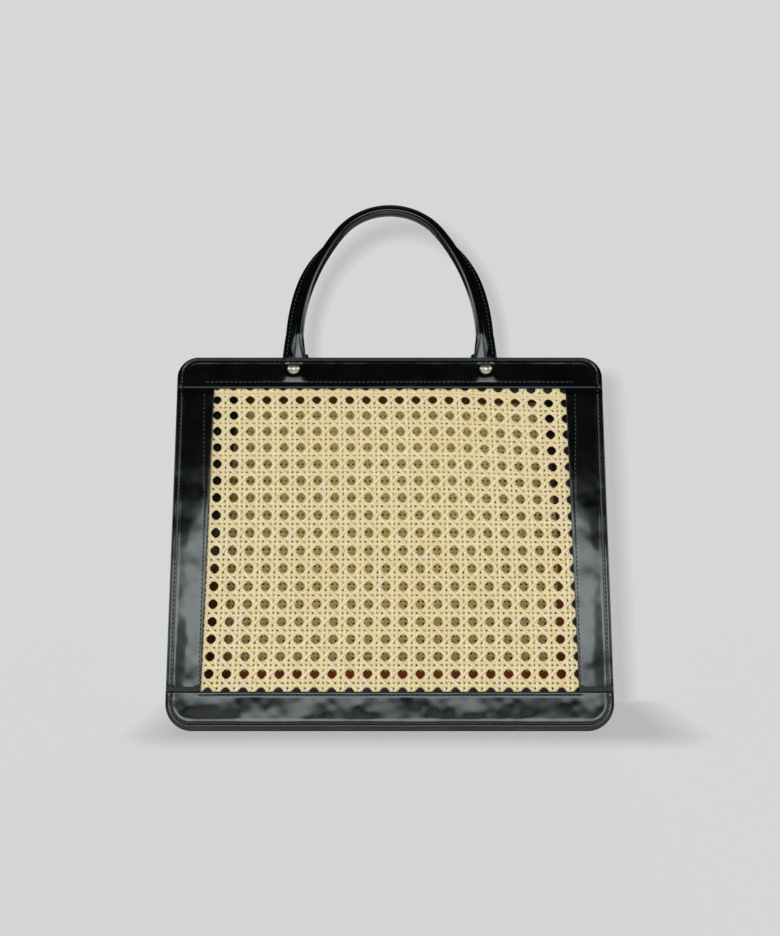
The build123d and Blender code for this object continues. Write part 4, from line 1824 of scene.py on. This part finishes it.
@dataclass(frozen=True)
class CardShade:
    """The bag's soft shadow as it is painted on the card, in millimetres of the bag's frame."""

    depth: float = 0.245
    body_x: float = 12.9
    body_taper: float = 16 / 277
    body_side: Pair = (179.0, 193.0)
    body_top: Pair = (261.0, 275.0)
    handle_centre: Pair = (12.3, 282.6)
    handle_reach: Pair = (76.0, 101.0)
    handle_depth: float = 0.9
    handle_width: Pair = (0.02, 0.13)
    handle_foot: Pair = (250.0, 260.0)

    def of_body(self, bench: NodeBench, split: bpy.types.NodeOutputs) -> bpy.types.NodeSocket:
        """The shade of the bag's body.

        Args:
            bench: The card's node tree.
            split: The X, Y and Z of the point's place.

        Returns:
            How deep in the shade a spot is, 0 to 1.
        """
        across = bench.away(split["X"], self.body_x * MM)
        taper = bench.combine(across, bench.product(split["Z"], self.body_taper))
        beside = bench.inside(taper, *self.body_side)
        return bench.product(beside, bench.inside(split["Z"], *self.body_top))

    def of_handle(self, bench: NodeBench, split: bpy.types.NodeOutputs) -> bpy.types.NodeSocket:
        """The shade of the standing handle.

        Args:
            bench: The card's node tree.
            split: The X, Y and Z of the point's place.

        Returns:
            How deep in the shade a spot is, 0 to 1.
        """
        across, up = (
            bench.combine(bench.combine(split[axis], centre * MM, "SUBTRACT"), reach * MM, "DIVIDE")
            for axis, centre, reach in zip("XZ", self.handle_centre, self.handle_reach)
        )
        spot = bench.add("ShaderNodeCombineXYZ", {0: across, 1: up}).outputs[0]
        ring = bench.spread(bench.away(bench.length(spot), 1.0), self.handle_depth, 0, *self.handle_width)
        start, end = self.handle_foot
        return bench.product(ring, bench.spread(split["Z"], 0, 1, start * MM, end * MM))


@dataclass(frozen=True)
class Studio:
    """The camera, the floor, a pale backdrop and plain soft light, with painted shade on the floor and the
    backdrop card.
    """

    camera_back: float = 0.700
    camera_height: float = 0.1577
    camera_side: float = 0.0002
    pitch: float = 2.74
    focal_pixels: float = 905.7
    picture_height: float = 936.0
    sensor: float = 36.0
    backdrop: float = 0.68
    strength: float = 3.8
    sky: float = 0.004
    red_share: float = 0.9
    front_levels: Pairs = (
        (-90, 0.5), (-30, 0.3), (-14, 0.05), (0.0, 0.02), (1.7, 0.66), (3.3, 1.0), (8, 1.0),
        (11, 0.45), (14, 0.03), (20, 0.0), (50, 0.0), (64, 0.03), (90, 0.12),
    )
    turn_levels: Pairs = (
        (0, 1.0), (12.5, 1.0), (14.2, 0.3), (16, 0.2), (26, 0.2), (40, 0.5), (180, 0.5),
    )
    side_levels: Pairs = ((-90, 0.0), (-8, 0.0), (0, 1.0), (16, 1.0), (26, 0.0), (90, 0.0))
    side_turns: Pairs = ((0, 0.0), (36, 0.0), (46, 0.25), (60, 0.25), (72, 0.0), (180, 0.0))
    floor_half: float = 3.0
    floor_fade: Pair = (0.25, 1.1)
    floor_glow: float = 0.636
    floor_paint: float = 0.08
    # Painted shade round the bag's foot: its depth, middle, half width, half depth and fade.
    painted_contact_shade: float = 0.30
    contact_x: float = 20.0
    contact_half_width: float = 160.0
    contact_half_depth: float = 42.0
    contact_fade: Pair = (12.0, 52.0)
    card_gap: float = 13.0
    card_foot: float = 0.5
    card_reach: float = 262.0
    card_height: float = 475.0
    card_side_fade: Pair = (60.0, 5.0)
    card_top_fade: Pair = (70.0, 10.0)
    # Painted shade: the near-black brown and the reach of the card's patch behind the woven windows.
    painted_window_shade: Box = (0.012, 0.007, 0.004, 1.0)
    window_shade_past_side: float = 4.0
    window_shade_past_foot: float = 8.0
    window_shade_soft: float = 3.0
    window_shade_top: Pair = (-5.0, 1.0)
    shade: CardShade = CardShade()
    lamp_angle: float = 24.0
    lamps: tuple[tuple[str, float, Triple], ...] = (
        ("key_softbox", 2.35, (0.2, 0.95, -0.28)), ("rear_softbox", 1.5, (-0.25, -0.9, -0.3)),
    )

    def make_camera(self) -> None:
        """Set the camera where the photograph's was."""
        data = bpy.data.cameras.new("camera")
        data.sensor_width = self.sensor
        data.lens = self.focal_pixels * self.sensor / self.picture_height
        data.clip_start, data.clip_end = 0.01, 50.0
        camera = bpy.data.objects.new("camera", data)
        camera.location = (self.camera_side, -self.camera_back, self.camera_height)
        camera.rotation_euler = (math.radians(90 + self.pitch), 0.0, 0.0)
        bpy.context.scene.collection.objects.link(camera)
        bpy.context.scene.camera = camera

    def make_world(self) -> None:
        """Light the bag from a low soft box in front, one at each side and a dim sky."""
        world = bpy.data.worlds.new("studio_world")
        bpy.context.scene.world = world
        world.use_nodes = True
        world.node_tree.nodes.clear()
        bench = NodeBench(world.node_tree)
        split = bench.axes(bench.add("ShaderNodeTexCoord").outputs["Generated"])
        degree = 180 / math.pi
        up = bench.product(bench.combine(split["Z"], 0.0, "ARCSINE"), degree)
        ahead = bench.product(split["Y"], -1.0)
        turn = bench.product(bench.combine(split["X"], ahead, "ARCTAN2"), degree)
        turn = bench.combine(turn, 0.0, "ABSOLUTE")
        front = bench.product(bench.levels(up, self.front_levels), bench.levels(turn, self.turn_levels))
        beside = bench.product(bench.levels(up, self.side_levels), bench.levels(turn, self.side_turns))
        level = bench.combine(bench.combine(front, beside), self.sky)
        red = bench.product(level, self.red_share)
        tint = bench.add("ShaderNodeCombineColor", {0: red, 1: level, 2: level})
        light = bench.add("ShaderNodeBackground", {"Color": tint.outputs[0], "Strength": self.strength})
        plain = bench.add("ShaderNodeBackground", {"Color": grey(self.backdrop)})
        seen = bench.add("ShaderNodeLightPath").outputs["Is Camera Ray"]
        mix = bench.add("ShaderNodeMixShader", {0: seen, 1: light.outputs[0], 2: plain.outputs[0]})
        bench.add("ShaderNodeOutputWorld", {"Surface": mix.outputs[0]})

    def make_floor(self) -> None:
        """Lay the pale floor, with a soft shade painted round the bag's foot.

        It fades into the background with distance. Only the camera and polished faces see it
        so; all other light meets a plain pale floor.
        """
        half = self.floor_half
        corners = [(-half, -half, 0), (half, -half, 0), (half, half, 0), (-half, half, 0)]
        floor = self.stage_sheet("studio_floor", corners)
        bench = FinishBench("pale_floor")
        split = bench.axes(bench.place())
        # Painted contact shade: how far each spot of the floor lies from the bag's foot.
        across = bench.away(split["X"], self.contact_x * MM)
        beside, before = (
            bench.combine(bench.combine(value, edge * MM, "SUBTRACT"), 0.0, "MAXIMUM")
            for value, edge in (
                (across, self.contact_half_width),
                (bench.combine(split["Y"], 0.0, "ABSOLUTE"), self.contact_half_depth),
            )
        )
        spot = bench.add("ShaderNodeCombineXYZ", {0: beside, 1: before}).outputs[0]
        start, end = self.contact_fade
        painted_contact_shade = bench.spread(bench.length(spot), self.painted_contact_shade, 0, start * MM, end * MM)
        path = bench.add("ShaderNodeLightPath")
        seen = bench.combine(path.outputs["Is Camera Ray"], path.outputs["Is Glossy Ray"], "MAXIMUM")
        # The floor's glow, darkened by the painted contact shade.
        glow = bench.product(self.floor_glow, bench.combine(1.0, painted_contact_shade, "SUBTRACT"))
        own = bench.add("ShaderNodeEmission", {"Color": glow})
        paint = bench.add("ShaderNodeBsdfDiffuse", {"Color": grey(self.floor_paint)})
        lit = bench.add("ShaderNodeAddShader", {0: own.outputs[0], 1: paint.outputs[0]}).outputs[0]
        plain = bench.add("ShaderNodeBsdfDiffuse", {"Color": grey(self.backdrop)})
        shown = bench.add("ShaderNodeMixShader", {0: seen, 1: plain.outputs[0], 2: lit})
        near = bench.spread(bench.length(bench.place()), 1, 0, *self.floor_fade)
        self.fade(bench, near, shown.outputs[0])
        floor.data.materials.append(bench.material)

    def make_card(self) -> None:
        """Stand a pale card close behind the bag, with a painted shade where the woven windows look onto it.

        The bag's soft shadow is painted on it. Only its front is seen, and only by the camera,
        so it neither lights the bag nor hides its back.
        """
        reach, high = self.card_reach, self.card_height
        out = SIZES.outer_face + self.card_gap
        spots = ((-reach, self.card_foot), (reach, self.card_foot), (reach, high), (-reach, high))
        flat = np.array([(x, height, out) for x, height in spots])
        card = self.stage_sheet("studio_card", PanelPlace(PanelSide.BACK).points(flat).tolist())
        for ray in ("diffuse", "glossy", "transmission", "volume_scatter", "shadow"):
            setattr(card, f"visible_{ray}", False)
        bench = FinishBench("pale_card")
        split = bench.axes(bench.place())
        across = bench.combine(split["X"], 0.0, "ABSOLUTE")
        rim = bench.inside(across, *(reach - less for less in self.card_side_fade))
        top = bench.inside(split["Z"], *(high - less for less in self.card_top_fade))
        front = bench.add("ShaderNodeNewGeometry").outputs["Backfacing"]
        # Painted shade: the card turns near black behind the woven windows, in place of the shade inside the
        # bag.
        side, soft = SIZES.window_half_width + self.window_shade_past_side, self.window_shade_soft
        low = SIZES.bottom_band - self.window_shade_past_foot
        beside = bench.inside(across, side - soft, side + soft)
        above = bench.spread(split["Z"], 0, 1, (low - soft) * MM, (low + soft) * MM)
        under = bench.inside(split["Z"], *(SIZES.window_top + more for more in self.window_shade_top))
        # Painted shadow: the bag's body and handle darken the card's glow by a drawn mask.
        shade = bench.combine(
            self.shade.of_body(bench, split), self.shade.of_handle(bench, split), "MAXIMUM"
        )
        tone = bench.spread(shade, self.backdrop, self.backdrop * (1 - self.shade.depth), 0, 1)
        pale = bench.add("ShaderNodeEmission", {"Color": tone})
        # The painted window shade glows a near-black brown; no light or shadow makes it.
        depth = bench.add("ShaderNodeEmission", {"Color": self.painted_window_shade})
        painted_window_shade = bench.product(beside, above, under)
        shown = bench.add("ShaderNodeMixShader", {0: painted_window_shade, 1: pale.outputs[0], 2: depth.outputs[0]})
        self.fade(bench, bench.product(rim, top, front), shown.outputs[0])
        card.data.materials.append(bench.material)

    @staticmethod
    def stage_sheet(name: str, corners: list[Triple]) -> bpy.types.Object:
        """Make one flat piece of the stage.

        Args:
            name: Its name.
            corners: Its four corners, in metres.

        Returns:
            The new object.
        """
        mesh = bpy.data.meshes.new(name)
        mesh.from_pydata(corners, [], [(0, 1, 2, 3)])
        sheet = bpy.data.objects.new(name, mesh)
        bpy.context.scene.collection.objects.link(sheet)
        return sheet

    @staticmethod
    def fade(bench: FinishBench, seen: bpy.types.NodeSocket, shader: bpy.types.NodeSocket) -> None:
        """Show a shader by a share and nothing for the rest.

        Args:
            bench: The finish that it is in.
            seen: How much of the shader shows, 0 to 1.
            shader: The shader.
        """
        bench.nodes.remove(bench.shader)
        clear = bench.add("ShaderNodeBsdfTransparent")
        mix = bench.add("ShaderNodeMixShader", {0: seen, 1: clear.outputs[0], 2: shader})
        bench.links.new(mix.outputs[0], bench.nodes["Material Output"].inputs["Surface"])

    def make_lamps(self) -> None:
        """Hang the soft key lamp in front, to the left, and a weaker one behind, to the right."""
        for name, energy, heading in self.lamps:
            data = bpy.data.lights.new(name, "SUN")
            data.energy = energy
            data.angle = math.radians(self.lamp_angle)
            lamp = bpy.data.objects.new(name, data)
            lamp.rotation_euler = Vector(heading).to_track_quat("-Z", "Y").to_euler()
            bpy.context.scene.collection.objects.link(lamp)
            lamp.visible_glossy = False

    def build(self) -> None:
        """Set up the whole studio."""
        bpy.context.scene.view_settings.view_transform = "Standard"
        self.make_world()
        self.make_floor()
        self.make_card()
        self.make_lamps()


def main() -> None:
    """Build the bag's sub-assemblies in order, then the studio."""
    logging.basicConfig(level=logging.INFO, format="%(name)s %(message)s")
    studio = Studio()
    studio.make_camera()
    finishes = Finishes.make()
    for number, side in enumerate(PanelSide):
        place = PanelPlace(side)
        lay = BACK_LAY if side is PanelSide.BACK else FRONT_LAY
        CaneSheet(place, lay, seed=11 + 40 * number).build(finishes)
        LeatherFrame(place, PanelRelief(seed=5 + 7 * number)).build(finishes)
        LiningHem(place, reach=7.4 if side is PanelSide.BACK else 4.8).build(finishes)
        RolledHandle(place, hanging=side is PanelSide.BACK).build(finishes)
        RivetCaps(place).build(finishes)
    FoldingGusset().build(finishes)
    CarriedSolids().build(finishes)
    studio.build()


if __name__ == "__main__":
    main()
